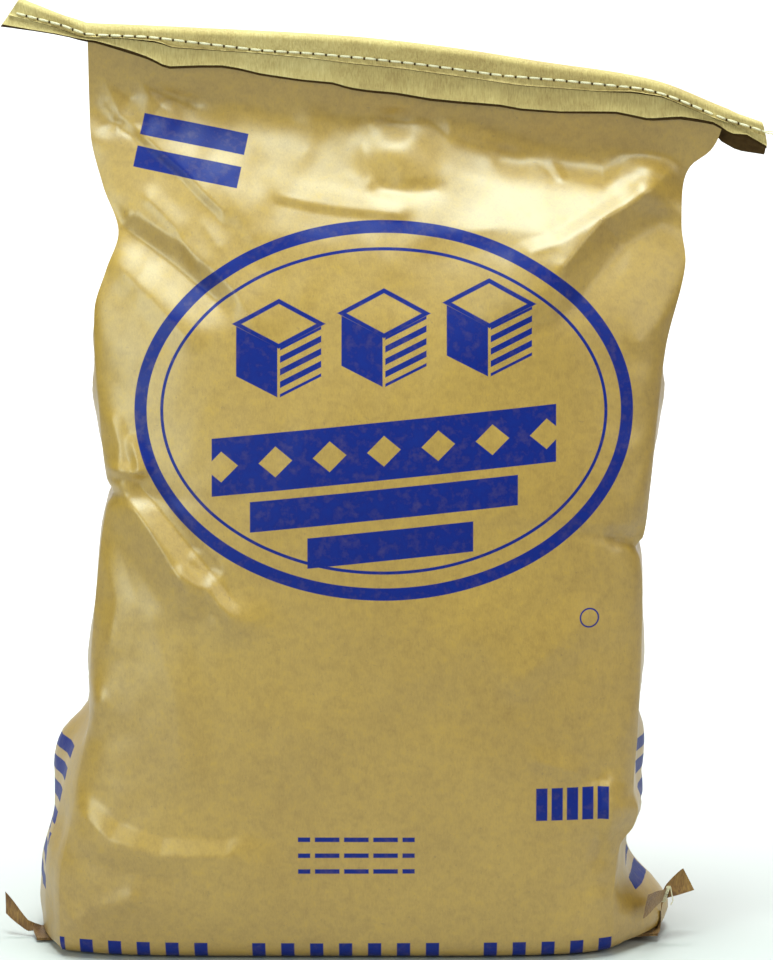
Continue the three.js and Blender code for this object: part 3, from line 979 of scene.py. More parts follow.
def draw_corner_bars(u, v):
    """Two slanted bars at the top left."""
    left, top = CORNER_BARS["at"]
    slant, pitch = CORNER_BARS["slant"], CORNER_BARS["pitch"]
    down = v + (u - left) * slant - top
    rows = bar(u - left - down * slant, repeated(down - pitch / 2, pitch), *CORNER_BARS["size"])
    return rows.most(abs(down) - CORNER_BARS["reach"])


def draw_small_print(u, v):
    """Round the badge: two bars at the top left, a ring, a row of blocks, three fine lines, and the foot."""
    x, y = RING["at"]
    small_ring = ring(oval(u - x, v - y, RING["size"], RING["size"]), RING["line"])
    x, y = BLOCKS["at"]
    blocks = bar(repeated(u - x, BLOCKS["pitch"]), v - y, *BLOCKS["size"])
    blocks = blocks.most(abs(u - x) - BLOCKS["row"] / 2)
    x, y = FINE_LINES["at"]
    across_pitch, down_pitch = FINE_LINES["pitch"]
    lines = bar(repeated(u - x, across_pitch), repeated(v - y, down_pitch), *FINE_LINES["size"])
    lines = lines.most(bar(u - x, v - y, *FINE_FIELD))
    foot = bar(repeated(u, FOOT_BARS["pitch"]), v + FOOT_BARS["drop"], *FOOT_BARS["size"])
    foot_gaps = abs(repeated(u - FOOT_GAPS["at"], FOOT_GAPS["pitch"])) - FOOT_GAPS["half"]
    foot = foot.most(foot_gaps * -1).most(abs(u) - FOOT_BARS["row"] / 2)
    return draw_corner_bars(u, v).least(small_ring).least(blocks).least(lines).least(foot)


def draw_side(u, v):
    """Stacked blocks low on a side fold."""
    x, y = SIDE_BLOCKS["at"]
    blocks = bar(u - SIDE_AT - x, repeated(v - y, SIDE_BLOCKS["pitch"]), *SIDE_BLOCKS["size"])
    return blocks.most(abs(v - y) - SIDE_BLOCKS["row"] / 2)


# %% [markdown]
# Kraft paper
#
# The paper is brown and fairly smooth, a little shiny from the calender rolls, with fibres that lie
# mostly up and down. Its colour comes from three scales: clouds as wide as a hand, a mottle of a few
# millimetres, and fine fibre streaks, with a few dark specks of bark. The shine is a clear coat over the
# paper, a little patchy, and most of it is gone where ink lies. The ink itself is thin, so the mottle shows
# through it too.

# %% Kraft paper with ink
KRAFT_DEEP = colour(145, 109, 34)
KRAFT_PALE = colour(180, 142, 55)
INK = colour(0, 24, 112)
INK_PALE = colour(4, 44, 134)
SPECK = colour(112, 84, 46)


def kraft_paper():
    finish = Finish("printed_kraft", IOR=1.45, Specular_IOR_Level=0.12, Coat_IOR=1.82, Coat_Roughness=0.45)
    place = finish.coordinates()
    u, v, _ = finish.axes(finish.coordinates("UV"))
    clouds = finish.noise(place, 9, 3)
    mottle = finish.noise(place, 170, 3, 0.6)
    fibres = finish.noise(finish.stretched(place, (1, 1, 0.4)), 900, 3, 0.65)
    specks = finish.noise(place, 420, 1).step(0.735, 0.765)
    tone = (clouds - 0.5) * 0.9 + (mottle - 0.5) * 1.1 + (fibres - 0.5) * 1.0 + 0.5
    paper = finish.blend(tone.within(0, 1), KRAFT_DEEP, KRAFT_PALE)
    paper = finish.blend(specks * 0.35, paper, SPECK)
    drawn = draw_badge(u, v).least(draw_small_print(u, v)).least(draw_side(u, v))
    cover = ink(drawn) * (1.0 + (mottle - 0.5) * 0.35).within(0, 1)
    ink_tone = ((mottle - 0.42) * 2.2 + (fibres - 0.5)).within(0, 1)
    inked = finish.blend(ink_tone * 0.45, INK, INK_PALE)
    rough = 0.55 + (mottle - 0.5) * 0.16 + (fibres - 0.5) * 0.1 - cover * 0.06
    grain = finish.bump(fibres, 0.22, 0.0004)
    grain = finish.bump(mottle, 0.24, 0.0008, grain)
    gloss = (1.06 - (mottle - 0.5) * 0.9 - (fibres - 0.5) * 0.5).within(0, 1) * (1.0 - cover * 0.86)
    base = finish.blend(cover, paper, inked)
    return finish.wear(Base_Color=base, Roughness=rough, Coat_Weight=gloss, Normal=grain)


paper_finish = kraft_paper()
finish_piece(sack, paper_finish, "kraft_paper", "sack")

# %% [markdown]
# The folded tape over the mouth
#
# The mouth is closed by a strip of crepe paper folded over the top edge, with a narrower strip over it,
# and both stick out past the sack's corners where the sewing machine runs on. Each strip is a thin box
# whose vertices are wrapped round the mouth: up the front, over the fold and down the back. Its free
# edges wander and stand off the paper and cast a thin shadow, which a dark strip of painted shadow
# behind each one deepens into the thin dark line under them.

# %% Measures of the tape
TAPE_THICKNESS = 0.7
LAYER_GAP = 0.4
THREAD_LIFT = 0.25  # how far the middle of the thread lies above the binding
# Lines read off the photograph, in pixels: free edges of the tape and of the binding, and the stitches
TAPE_EDGE = [
    (2, 24), (30, 29), (55, 33), (83, 39), (95, 40), (130, 50), (150, 57), (163, 64), (170, 66), (200, 65),
    (222, 65), (240, 68), (260, 73), (300, 79), (333, 82), (350, 87), (370, 90), (395, 92), (430, 98),
    (460, 101), (500, 104), (520, 108), (560, 111), (615, 111), (635, 115), (648, 118), (680, 116),
    (700, 119), (715, 122), (730, 133), (746, 134), (770, 148),
]
BACK_EDGE_RIGHT = [(690, 116), (708, 122), (722, 140), (738, 149), (770, 154)]
BINDING_EDGE = [
    (2, 13), (53, 26), (80, 36), (95, 37), (125, 38), (158, 41), (172, 47), (260, 53), (310, 58), (350, 63),
    (400, 68), (500, 82), (520, 85), (600, 91), (632, 91), (662, 96), (690, 108), (715, 118), (770, 138),
]
STITCH_LINE = [
    (2, 9), (17, 13), (93, 33), (110, 33), (160, 38), (260, 50), (310, 53), (365, 58), (420, 64), (500, 75),
    (560, 80), (630, 87), (655, 90), (680, 97), (700, 105), (718, 113), (770, 133),
]
# Places along the picture where the tape stands off further: centre, reach in pixels, millimetres
STAND_OFF = [(150, 22, 1.0), (250, 40, -0.8), (430, 50, 0.4), (642, 26, 1.4), (700, 12, -1.0)]
BINDING_STAND_OFF = [(148, 24, 1.5), (290, 30, 0.3), (420, 40, 0.4), (642, 26, 1.6)]
# Sharp upright kinks in the tape: pixel across, reach to the left and to the right in pixels, millimetres
KINKS = [(95, 5, 9, 1.8), (330, 14, 24, 0.8), (507, 10, 50, 2.4), (612, 16, 30, 0.8), (717, 6, 6, 2.0)]
KINK_LEAN = 0.25  # pixels to the left for each millimetre down
# How far down a leaf reaches, in millimetres: the first guess, its limits, and how often it is corrected
LEAF_GUESS, LEAF_LIMITS, LEAF_TRIES = 24, (3, 45), 6
LEFT_EAR = {"length": 45, "rise": 17, "leaf": 15.5, "lean": -0.62, "forward": 12}
RIGHT_EAR = {"length": 25, "rise": -8, "leaf": 20, "lean": 0.3, "forward": -7}
EAR_SPAN = {"left": 0.24, "right": 0.16}
EAR_HALF = 0.8


def mouth_frame(s):
    """Ridge, way down and half thickness of the folded tape at places along the mouth."""
    side = np.sign(s)
    within = np.clip(s, -1, 1)
    past = np.maximum(0, np.abs(s) - 1)
    left = side < 0
    f = past / np.where(left, EAR_SPAN["left"], EAR_SPAN["right"])

    def ear(key):
        return np.where(left, LEFT_EAR[key], RIGHT_EAR[key])

    swing = ear("lean") * f
    top = np.full(len(s), float(SACK_LENGTH))
    ridge = np.stack(
        [
            across(within, top) + side * ear("length") * f,
            ear("forward") * f * f,
            follow(MOUTH_HEIGHT, within) + ear("rise") * f,
        ],
        axis=1,
    )
    down = np.stack([np.sin(swing), -np.cos(swing)], axis=1)
    half = mix(MOUTH_HALF, EAR_HALF, smoothstep(0.04, 0.4, f))
    return within, ridge, down, half


def folded_point(s, side, lower, spread, stand_off):
    """Points of the folded tape: lower is how far below the mouth, side is -1 on the front leaf."""
    within, ridge, down, half = mouth_frame(s)
    radius = half + spread
    round_fold = np.sqrt(np.maximum(radius**2 - np.minimum(lower, 0) ** 2, 0))
    out = np.where(lower < 0, round_fold, radius + stand_off)
    level = SACK_LENGTH * (1 - np.maximum(lower, 0) / follow(MOUTH_HEIGHT, within))
    top = np.full(len(s), float(SACK_LENGTH))
    shift = across(within, level) - across(within, top)
    return np.stack(
        [
            ridge[:, 0] + shift + down[:, 0] * lower,
            ridge[:, 1] + middle_plane(within, level) + side * out,
            ridge[:, 2] + down[:, 1] * lower,
        ],
        axis=1,
    )


def leaf_to(line, s):
    """How far down the front leaf has to reach to meet a line drawn over the photograph."""
    table = np.array(line, dtype=float)
    front = np.full(len(s), -1.0)
    start_x, start = seen_at(folded_point(s, front, np.zeros(len(s)), 1.0, 0))
    leaf = np.full(len(s), float(LEAF_GUESS))
    for _ in range(LEAF_TRIES):
        px, py = seen_at(folded_point(s, front, leaf, 1.0, 0))
        wanted = np.interp(px, table[:, 0], table[:, 1])
        leaf = np.clip(leaf * (wanted - start) / np.maximum(py - start, 1), *LEAF_LIMITS)
    return leaf, start_x


def bumps_at(px, places):
    return sum(height * np.exp(-(((px - centre) / reach) ** 2)) for centre, reach, height in places)


def kinks_at(px):
    total = np.zeros(len(px))
    for centre, left_reach, right_reach, height in KINKS:
        reach = np.where(px < centre, left_reach, right_reach)
        total += height * np.exp(-np.abs(px - centre) / reach)
    return total


# %% Wrap a strip round the mouth
ARC_STEPS = 6
RIM_CURL = 1.0
FINE_CRINKLE, COARSE_CRINKLE = 0.16, 0.22  # millimetres


def lowered(line, amount, places=()):
    """The same line a little lower, by an amount in pixels that may grow at some places."""
    return [(x, y + amount + bumps_at(x, places)) for x, y in line]


def wrap_strip(name, edges, layer, lift, counts):
    """A thin box moved round the mouth, whose two leaves reach down to lines over the photograph."""
    front_edge, back_edge = edges
    inner, thickness = layer
    stand_off, further_off = lift
    strip = cut_box(name, counts)
    net = corners(strip)
    s = mix(-1 - EAR_SPAN["left"], 1 + EAR_SPAN["right"], (net[:, 0] + 1) / 2)
    spread = inner + thickness * (net[:, 2] + 1) / 2
    side = np.where(net[:, 1] < 0, -1.0, 1.0)
    reach = np.abs(net[:, 1])
    half = mouth_frame(s)[3]
    front_leaf, px = leaf_to(front_edge, s)
    back_leaf, _ = leaf_to(back_edge, s)
    leaf = np.where(side < 0, front_leaf, back_leaf)
    arc = ARC_STEPS / (counts[1] / 2)
    turning = np.minimum(reach / arc, 1)
    over_fold = -(half + spread) * np.cos(turning * math.pi / 2)
    straight = np.maximum(0, (reach - arc) / (1 - arc))
    lower = np.where(reach < arc, over_fold, straight * leaf)
    bound = leaf_to(BINDING_EDGE, s)[0] / leaf
    free = smoothstep(0, 1, np.clip((straight - bound + 0.1) / np.maximum(1.1 - bound, 0.1), 0, 1))
    away = np.maximum(0, stand_off + bumps_at(px, further_off)) * free
    away += RIM_CURL * smoothstep(0.9, 1, straight)
    kink = kinks_at(px + KINK_LEAN * lower) * (0.35 + 0.65 * straight)
    crinkle = FINE_CRINKLE * waves(s * 400, lower * 0.5, 3.2, 8)
    crinkle += COARSE_CRINKLE * waves(s * 300, lower * 1.5, 26, 14)
    places = folded_point(s, side, lower, spread, away)
    places[:, 1] -= kink + crinkle * smoothstep(-1, 3, lower)
    return shaped_strip(strip, places, name)


back_tape_edge = [point for point in TAPE_EDGE if point[0] < BACK_EDGE_RIGHT[0][0]] + BACK_EDGE_RIGHT
# Each layer is how far out its inner face lies, and its thickness
TAPE_LAYER = (LAYER_GAP, TAPE_THICKNESS)
BINDING_LAYER = (2 * LAYER_GAP + TAPE_THICKNESS, TAPE_THICKNESS)
TAPE_LIFT = (2.2, STAND_OFF)
BINDING_LIFT = (0.3, BINDING_STAND_OFF)
TAPE_NET, BINDING_NET = (420, 40, 1), (420, 28, 1)
tape_edges = (TAPE_EDGE, back_tape_edge)
binding_edges = (BINDING_EDGE, BINDING_EDGE)
tape = wrap_strip("mouth_tape_crepe", tape_edges, TAPE_LAYER, TAPE_LIFT, TAPE_NET)
binding = wrap_strip("mouth_binding_crepe", binding_edges, BINDING_LAYER, BINDING_LIFT, BINDING_NET)

# %% Painted shadow under the tape
# Each strip has a thin dark strip of painted shadow behind it, which shows below its free edge as a dark line
# a millimetre wide
SHADOW_THICKNESS, SHADOW_GAP = 0.25, 0.05
TAPE_SHADOW_SHOWS = [(52, 24, -2.6), (125, 20, 0.8), (300, 60, -0.4), (560, 50, -0.5), (690, 16, 0.8)]
BINDING_SHADOW_SHOWS = [(148, 18, 1.6), (642, 20, 1.6), (760, 30, -0.8), (20, 20, -0.8)]
TAPE_SHADOW_EDGES = (lowered(TAPE_EDGE, 2.6, TAPE_SHADOW_SHOWS), lowered(back_tape_edge, 2.0))
BINDING_SHADOW_EDGES = (lowered(BINDING_EDGE, 0.5, BINDING_SHADOW_SHOWS), lowered(BINDING_EDGE, 0.6))


def behind(layer):
    """The layer of a painted shadow strip just behind another layer."""
    return (layer[0] - SHADOW_THICKNESS - SHADOW_GAP, SHADOW_THICKNESS)


# Painted shadow: dark strips behind the tape and the binding
tape_painted_shadow = wrap_strip("mouth_tape_painted_shadow", TAPE_SHADOW_EDGES, behind(TAPE_LAYER), TAPE_LIFT, (300, 32, 1))
binding_painted_shadow = wrap_strip(
    "mouth_binding_painted_shadow", BINDING_SHADOW_EDGES, behind(BINDING_LAYER), BINDING_LIFT, (300, 28, 1)
)

# %% [markdown]
# Stitches
#
# A sack closer sews with one thread: on the front it shows as a row of straight stitches, each going
# down into its hole, and on the back the loops lie in a chain. One stitch is a short rounded rod, modelled
# once and copied along the seam, and all copies are joined.

# %% Stitch rows
STITCH_COUNT = 60
STITCH_CUTS = 7
STITCH_DIVE = 1.1
FRONT_THREAD, FRONT_SHARE = 0.74, 0.9  # radius, and how much of its step a stitch fills
BACK_THREAD, BACK_SHARE = 0.85, 1.06
BASE_THREAD, BASE_SHARE = 0.45, 0.9
ROD_SIDES = 8
SEWN_SHARE = 0.94  # of each ear's span
SEAM_STEPS = 1200


def run_along(path):
    """How far along a path each of its points is."""
    return np.concatenate([[0], np.cumsum(np.linalg.norm(np.diff(path, axis=0), axis=1))])


def points_at(at, run, path):
    """The points at given distances along a path."""
    return np.stack([np.interp(at, run, path[:, k]) for k in range(3)], axis=1)


def seam_run(side, count):
    """The ends of the stitches on one leaf of the mouth, evenly along the seam."""
    fine = np.linspace(-1 - EAR_SPAN["left"] * SEWN_SHARE, 1 + EAR_SPAN["right"] * SEWN_SHARE, SEAM_STEPS)
    spread = 2 * TAPE_THICKNESS + 3 * LAYER_GAP + THREAD_LIFT
    lower, px = leaf_to(STITCH_LINE, fine)
    path = folded_point(fine, np.full(len(fine), side), lower, spread, 0)
    path[:, 1] -= kinks_at(px + KINK_LEAN * lower) * 0.6
    run = run_along(path)
    return points_at(np.linspace(0, run[-1], count + 1), run, path)


def one_stitch(radius):
    """A rod, and how far along, inward and upward its corners go. It is plump, and its ends dive."""
    rod = cut_rod(ROD_SIDES, STITCH_CUTS)
    x, y, z = corners(rod).T
    t = (z + 1) / 2
    plump = radius * (0.55 + 0.45 * np.sqrt(np.clip(np.sin(np.pi * np.clip(t, 0.02, 0.98)), 0, 1)))
    dive = STITCH_DIVE * (2 * np.abs(t - 0.5)) ** 5
    return rod, t, y * plump + dive, -x * plump


def lay_stitches(name, stops, side, radius, share):
    """Copies of one stitch between the stops, joined into one piece."""
    rod, t, inward, upward = one_stitch(radius)
    out = np.array([0.0, float(side), 0.0])
    copies = []
    for start, end in zip(stops, stops[1:]):
        along = end - start
        up = np.cross(along / np.linalg.norm(along), out)
        first = start + along * (1 - share) / 2
        run = first + np.outer(t, along * share)
        copies.append(run - np.outer(inward, out) + np.outer(upward, up))
    return sewn_thread(joined_copies(rod, copies), name)


front_stops = seam_run(-1.0, STITCH_COUNT)
front_stitches = lay_stitches("mouth_thread_front", front_stops, -1, FRONT_THREAD, FRONT_SHARE)
back_stops = seam_run(1.0, STITCH_COUNT)
back_stitches = lay_stitches("mouth_thread_back", back_stops, 1, BACK_THREAD, BACK_SHARE)

# %% Needle holes
# Each stitch goes down into the tape through a hole that the needle punched, shown as a dark dot of painted
# shade between stitches
HOLE_SHAPE = (1, 0.35, 1.5)
HOLE_SHIFT = (0, 0.15, -0.35)
HOLE_RADIUS = 0.62


def punch_holes(name, stops):
    bpy.ops.object.select_all(action="DESELECT")
    bpy.ops.mesh.primitive_uv_sphere_add(segments=8, ring_count=6, radius=HOLE_RADIUS, calc_uvs=False)
    master = bpy.context.object
    model = corners(master) * HOLE_SHAPE
    return settle(joined_copies(master, [model + stop + HOLE_SHIFT for stop in stops[1:-1]]), name)


needle_holes = punch_holes("needle_holes", front_stops)

# %% [markdown]
# The seam under the base
#
# The other end of the tube is sewn in the same way, then folded flat under the sugar. Only its two ends
# show from the front, as small twisted ears of brown paper at the bottom corners, made darker still with
# painted shade. The strip is a thin box again: flat in its channel under the base, turning upright
# beyond each corner.

# %% Base strip with its ears
SEAM_START, SEAM_WIDTH = -39, 30
SEAM_LEVELS = {"stitches": 0.85, "binding": 1.6, "tape": 2.65}
SEAM_ENDS = (-202, 203)
EAR_LENGTH = 20
# Along each ear: share of its length, place across, height of its middle, width, shift back
LEFT_BASE_EAR = [
    (0, -202, 0, 30, 0), (0.12, -205, 4, 7, 1), (0.3, -210, 8, 8.5, 3), (1, -224, 21.5, 15, 8),
]
RIGHT_BASE_EAR = [
    (0, 203, 0, 30, 0), (0.2, 205.5, 8, 10, -1), (0.42, 206, 22, 8, -2), (0.56, 208, 28, 8, -3),
    (0.78, 214, 32, 11, -3), (1, 223.5, 37, 15, -2),
]
EAR_SLANT = {"left": 0.0, "right": 0.5}
EAR_CURL = 1.3


def seam_point(x, across01, level):
    """Points of the seam strip: flat under the base, gathered and turned upright in the two ears."""
    left = x < 0
    past = np.where(left, SEAM_ENDS[0] - x, x - SEAM_ENDS[1])
    f = np.clip(past / EAR_LENGTH, 0, 1)

    def ear(column):
        return np.where(left, follow(LEFT_BASE_EAR, f, column), follow(RIGHT_BASE_EAR, f, column))

    inside = past <= 0
    centre = np.where(inside, x, ear(1))
    turn = math.pi / 2 * smoothstep(0, 0.3, f)
    width = np.where(inside, SEAM_WIDTH, ear(3))
    reach = (across01 - 0.5) * width
    slant = np.where(left, EAR_SLANT["left"], EAR_SLANT["right"]) * smoothstep(0.5, 1, f)
    curl = EAR_CURL * np.sin(7 * f + across01 * 3.0) * f
    middle = SEAM_START + SEAM_WIDTH / 2 + np.where(inside, 0, ear(4))
    return np.stack(
        [
            centre - reach * np.sin(turn) * slant,
            middle + reach * np.cos(turn) - level * np.sin(turn) + curl,
            level * np.cos(turn) + reach * np.sin(turn) + np.where(inside, 0, ear(2)) + base_lift(centre),
        ],
        axis=1,
    )


def lay_strip(name, share, level, past_ends, counts):
    strip = cut_box(name, counts)
    net = corners(strip)
    run = mix(net[:, 0], np.sin(net[:, 0] * math.pi / 2), 0.8)
    x = mix(SEAM_ENDS[0] - past_ends, SEAM_ENDS[1] + past_ends, (run + 1) / 2)
    height = level + TAPE_THICKNESS * (net[:, 2] + 1) / 2
    places = seam_point(x, share * (net[:, 1] + 1) / 2, height)
    return shaped_strip(strip, places, name)


BASE_STITCH_STOPS = 51
BINDING_SHARE, STITCH_SHARE = 0.52, 0.38  # of the strip's width
base_tape = lay_strip("base_tape_crepe", 1.0, SEAM_LEVELS["tape"], EAR_LENGTH, (340, 14, 1))
base_binding = lay_strip("base_binding_crepe", BINDING_SHARE, SEAM_LEVELS["binding"], 0, (120, 8, 1))
seam_x = np.linspace(SEAM_ENDS[0] + 2, SEAM_ENDS[1] - 2, BASE_STITCH_STOPS)
seam_stops = seam_point(seam_x, STITCH_SHARE, np.full_like(seam_x, SEAM_LEVELS["stitches"]))
base_stitches = lay_stitches("base_thread", seam_stops, -1, BASE_THREAD, BASE_SHARE)

# %% The other half of the right ear
# The thread ties the strip like a bow, so a second lobe lies in front of the sack's corner
PINCH = (208.5, -30.0, 30.5)
LOBE_END = (193.0, -62.0, 32.5)
LOBE_WIDTHS = (8, 17)
LOBE_BOW, LOBE_FOLD, LOBE_RIPPLE = 3.4, 1.6, 1.5
LOBE_HALF_THICKNESS = 0.35


def fold_lobe():
    strip = cut_box("base_ear_lobe", (20, 10, 1))
    net = corners(strip)
    t = (net[:, 0] + 1) / 2
    width = mix(*LOBE_WIDTHS, smoothstep(0, 1, t))
    reach = net[:, 1] / 2 * width
    bow = LOBE_BOW * np.sin(math.pi * t)
    fold = LOBE_FOLD * np.abs(net[:, 1] - 0.25) * t
    line = [mix(start, end, t) for start, end in zip(PINCH, LOBE_END)]
    places = np.stack(
        [
            line[0] + 0.18 * reach,
            line[1] - bow - fold - 0.28 * reach - LOBE_HALF_THICKNESS * net[:, 2],
            line[2] + reach + LOBE_RIPPLE * t * np.sin(5 * t),
        ],
        axis=1,
    )
    return shaped_strip(strip, places, "base_ear_lobe")


base_lobe = fold_lobe()

# %% Loose threads
NEAR_STEP = 0.2  # millimetres before and beyond a place, between which the thread's way is read
KNOT_TURNS = 3
KNOT_REACH = (1.6, 3.4, 5.2)
KNOT_END = [(3.5, -3.5, 1.5), (4.5, -5.0, -3.5), (3.0, -5.5, -6.0)]


def lay_thread(name, path, radius, steps):
    """One thread along a path of points: a rod cut across, whose rings are moved onto the path."""
    rod = cut_rod(ROD_SIDES, steps)
    places = corners(rod)
    path = np.array(path, dtype=float)
    run = run_along(path)
    at = (places[:, 2] + 1) / 2 * run[-1]
    centre = points_at(at, run, path)
    step = points_at(at + NEAR_STEP, run, path) - points_at(at - NEAR_STEP, run, path)
    way = step / np.linalg.norm(step, axis=1)[:, None]
    flank = np.cross(way, (0.31, 0.22, 0.92))
    flank /= np.linalg.norm(flank, axis=1)[:, None]
    rise = np.cross(flank, way)
    move_corners(rod, (centre + radius * (flank * places[:, :1] + rise * places[:, 1:2])) * MM)
    return sewn_thread(rod, name)


def knot_path():
    """Three turns round the pinch of the right base ear, then a short loose end."""
    turn = np.linspace(0, KNOT_TURNS * 2 * math.pi, 60)
    wide, deep, high = KNOT_REACH
    sideways = wide * np.cos(turn) + 0.5 * np.sin(turn) + 0.14 * turn - 1.2
    coil = np.stack([sideways, deep * np.sin(turn + 0.4), high * np.cos(turn)], axis=1)
    return np.concatenate([coil, KNOT_END]) + PINCH


def end_path(*steps):
    """A loose end of the mouth's thread, past the last stitch."""
    return front_stops[-1] + np.array([(0, 0, 0), *steps])


loose_threads = [
    lay_thread("base_thread_knot", knot_path(), 0.38, 160),
    lay_thread("mouth_thread_end", end_path((3, -1, -1.5), (6, -2, -1.8), (9.5, -2, -4.5)), 0.5, 24),
    lay_thread("mouth_thread_tail", end_path((3, -0.5, -0.5), (7, -1, -0.6), (10, -1.5, 0.5)), 0.4, 24),
]

# %% [markdown]
# Crepe paper and thread
#
# Crepe is paper that was crushed while wet, so it has close wrinkles across its length. They run up and
# down here, about a millimetre apart and never quite even. The thread is twisted cotton, cream
# against the paper, with its twist as a fine slanted ridge.

# %% Crepe and thread finishes
CREPE = colour(190, 165, 103)
CREPE_DEEP = colour(162, 134, 78)
CREPE_PALE = colour(213, 191, 131)
THREAD = colour(240, 232, 204)
THREAD_DEEP = colour(206, 192, 150)


def crepe_paper(name, deep, middle, pale):
    finish = Finish(name, IOR=1.45, Specular_IOR_Level=0.6, Sheen_Weight=0.1)
    place = finish.coordinates()
    wrinkles = finish.noise(finish.stretched(place, (1, 1, 0.14)), 1500, 2, 0.6)
    ribs = finish.noise(finish.stretched(place, (1, 1, 0.13)), 1050, 2, 0.5)
    patches = finish.noise(place, 14, 2)
    mottle = finish.noise(place, 60, 3, 0.6)
    tone = 0.5 + (wrinkles - 0.5) * 0.7 + (ribs - 0.5) * 0.9 + (mottle - 0.5) * 0.7 + (patches - 0.5) * 1.2
    low = finish.blend(tone.within(0, 0.5) * 2, deep, middle)
    base = finish.blend((tone - 0.5).within(0, 0.5) * 2, low, pale)
    normal = finish.bump(ribs, 0.7, 0.0009)
    normal = finish.bump(wrinkles, 0.5, 0.0005, normal)
    rough = 0.6 + (mottle - 0.5) * 0.2
    return finish.wear(Base_Color=base, Roughness=rough, Normal=normal)


# Dark paper that stands for shade: painted shadow under the tape's edges and painted shade inside the needle
# holes
def painted_shade_paper(name, grain, deep, pale):
    finish = Finish(name, Specular_IOR_Level=0.1)
    dirt = finish.noise(finish.coordinates(), grain, 2)
    return finish.wear(Base_Color=finish.blend(dirt, deep, pale), Roughness=0.9)


def twisted_thread():
    finish = Finish("cotton_thread", IOR=1.45, Specular_IOR_Level=0.3, Sheen_Weight=0.4)
    place = finish.coordinates()
    x, y, z = finish.axes(place)
    twist = ((x + z * 1.4 + y) * 5200).sine() * 0.5 + 0.5
    fuzz = finish.noise(place, 2400, 2)
    base = finish.blend((twist * 0.5 + fuzz * 0.5).within(0, 1), THREAD_DEEP, THREAD)
    normal = finish.bump(twist + fuzz * 0.5, 0.5, 0.0003)
    return finish.wear(Base_Color=base, Roughness=0.75 + (fuzz - 0.5) * 0.2, Normal=normal)


crepe = crepe_paper("crepe_tape", CREPE_DEEP, CREPE, CREPE_PALE)
# The base strips and the lobe take a darker copy of the crepe: partly the brown of that tape, partly painted
# shade
brown_and_shaded_crepe = crepe_paper("crepe_tape_brown_and_shaded", colour(66, 40, 16), colour(112, 74, 30), colour(156, 118, 56))
cotton = twisted_thread()
# Painted shadow: the colour of the dark strips under the tape's free edges
painted_shadow_paper = painted_shade_paper("dark_painted_shadow", 300, colour(52, 36, 18), colour(84, 62, 34))
# Painted shade: the dark inside of each needle hole
hole_painted_shade = painted_shade_paper("needle_hole", 1800, colour(48, 34, 18), colour(74, 56, 32))
finish_piece(tape, crepe, "crepe_tape", "mouth_tape")
finish_piece(binding, crepe, "crepe_tape", "mouth_binding")
finish_piece(tape_painted_shadow, painted_shadow_paper, "crepe_tape")
finish_piece(binding_painted_shadow, painted_shadow_paper, "crepe_tape")
finish_piece(front_stitches, cotton, "thread", "mouth_stitches_front")
finish_piece(back_stitches, cotton, "thread", "mouth_stitches_back")
finish_piece(needle_holes, hole_painted_shade, "crepe_tape")
finish_piece(base_tape, brown_and_shaded_crepe, "crepe_tape", "base_tape")
finish_piece(base_binding, brown_and_shaded_crepe, "crepe_tape", "base_binding")
finish_piece(base_stitches, cotton, "thread", "base_stitches")
finish_piece(base_lobe, brown_and_shaded_crepe, "crepe_tape")
for thread in loose_threads:
    finish_piece(thread, cotton, "thread")

# %% [markdown]
# Floor and light
#
# The photograph has soft light from above and from the left, so the top of the filling and the left folds
# glow, and the upright front below falls away evenly. A wide panel almost overhead gives the glow on top,
# a smaller one low at the left lights the folds there, and a weak one at the right opens the shadows. The
# floor is a pale sheet that curves up into a wall, with a light of its own so that it stays white.

# %% Stage
FLOOR_SIZE, WALL_HEIGHT, SWEEP_RADIUS = 8, 4, 2.5
FLOOR_GREY = (0.55, 0.55, 0.55, 1)
WHITE = (1.0, 1.0, 1.0, 1)
WORLD_STRENGTH = 0.10


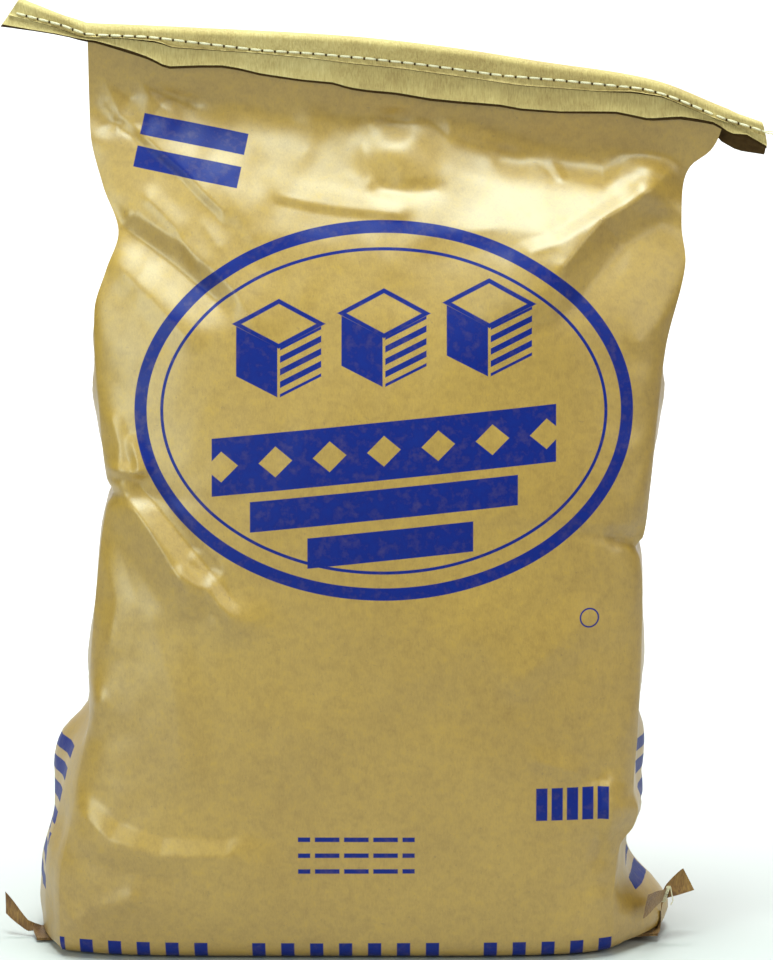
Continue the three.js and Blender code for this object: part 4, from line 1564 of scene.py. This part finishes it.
def pale_sweep():
    """A floor that curves up into a back wall, far enough away to cast nothing."""
    bpy.ops.object.select_all(action="DESELECT")
    bpy.ops.mesh.primitive_plane_add(size=FLOOR_SIZE, location=(0, 0, 0))
    sweep = bpy.context.object
    back = FLOOR_SIZE / 2 - 0.1
    mesh = edit(sweep)
    for edge in mesh.edges:
        edge.select = all(corner.co.y > back for corner in edge.verts)
    bmesh.update_edit_mesh(sweep.data)
    bpy.ops.mesh.extrude_region_move(TRANSFORM_OT_translate={"value": (0, 0, WALL_HEIGHT)})
    leave_edit()
    mesh = edit(sweep)
    for edge in mesh.edges:
        if all(corner.co.y > back and corner.co.z < 0.1 for corner in edge.verts):
            edge.select_set(True)
    bmesh.update_edit_mesh(sweep.data)
    bpy.ops.mesh.bevel(offset=SWEEP_RADIUS, segments=32)
    leave_edit()
    settle(sweep, "pale_floor")
    smooth(sweep, FLOOR_ANGLE)
    print("the sweep has", len(sweep.data.polygons), "faces")
    finish = Finish("pale_floor", Roughness=0.9)
    finish.shader.inputs["Base Color"].default_value = FLOOR_GREY
    sweep.data.materials.append(finish.material)


def panel_light(name, place, target, size, power, tint):
    bpy.ops.object.light_add(type="AREA", location=place)
    lamp = bpy.context.object
    lamp.name = name
    lamp.rotation_euler = (Vector(target) - Vector(place)).to_track_quat("-Z", "Y").to_euler()
    lamp.data.shape = "RECTANGLE"
    lamp.data.size, lamp.data.size_y = size
    lamp.data.energy = power
    lamp.data.color = tint


pale_sweep()
PANELS = [
    # Name, place, what it points at, size, power in watts, colour
    ("high_panel", (-0.06, -0.50, 2.46), (0.0, 0.0, 0.45), (1.3, 1.25), 77, (0.84, 1.0, 0.94)),
    ("left_panel", (-1.25, -1.75, 0.85), (0.0, 0.0, 0.44), (0.7, 0.9), 22, (0.84, 1.0, 0.90)),
    ("right_panel", (1.72, -1.28, 1.30), (0.0, 0.0, 0.42), (1.6, 1.4), 17, (0.92, 1.0, 0.90)),
    ("back_panel", (0.0, 1.0, 2.4), (0.0, 3.4, 0.6), (2.4, 0.8), 170, (1.0, 1.0, 1.0)),
]
for panel in PANELS:
    panel_light(*panel)
print(len(PANELS), "panels of light")
world = bpy.data.worlds.new("studio")
world.use_nodes = True
world.node_tree.nodes["Background"].inputs["Color"].default_value = WHITE
world.node_tree.nodes["Background"].inputs["Strength"].default_value = WORLD_STRENGTH
bpy.context.scene.world = world
bpy.context.scene.view_settings.view_transform = "Standard"
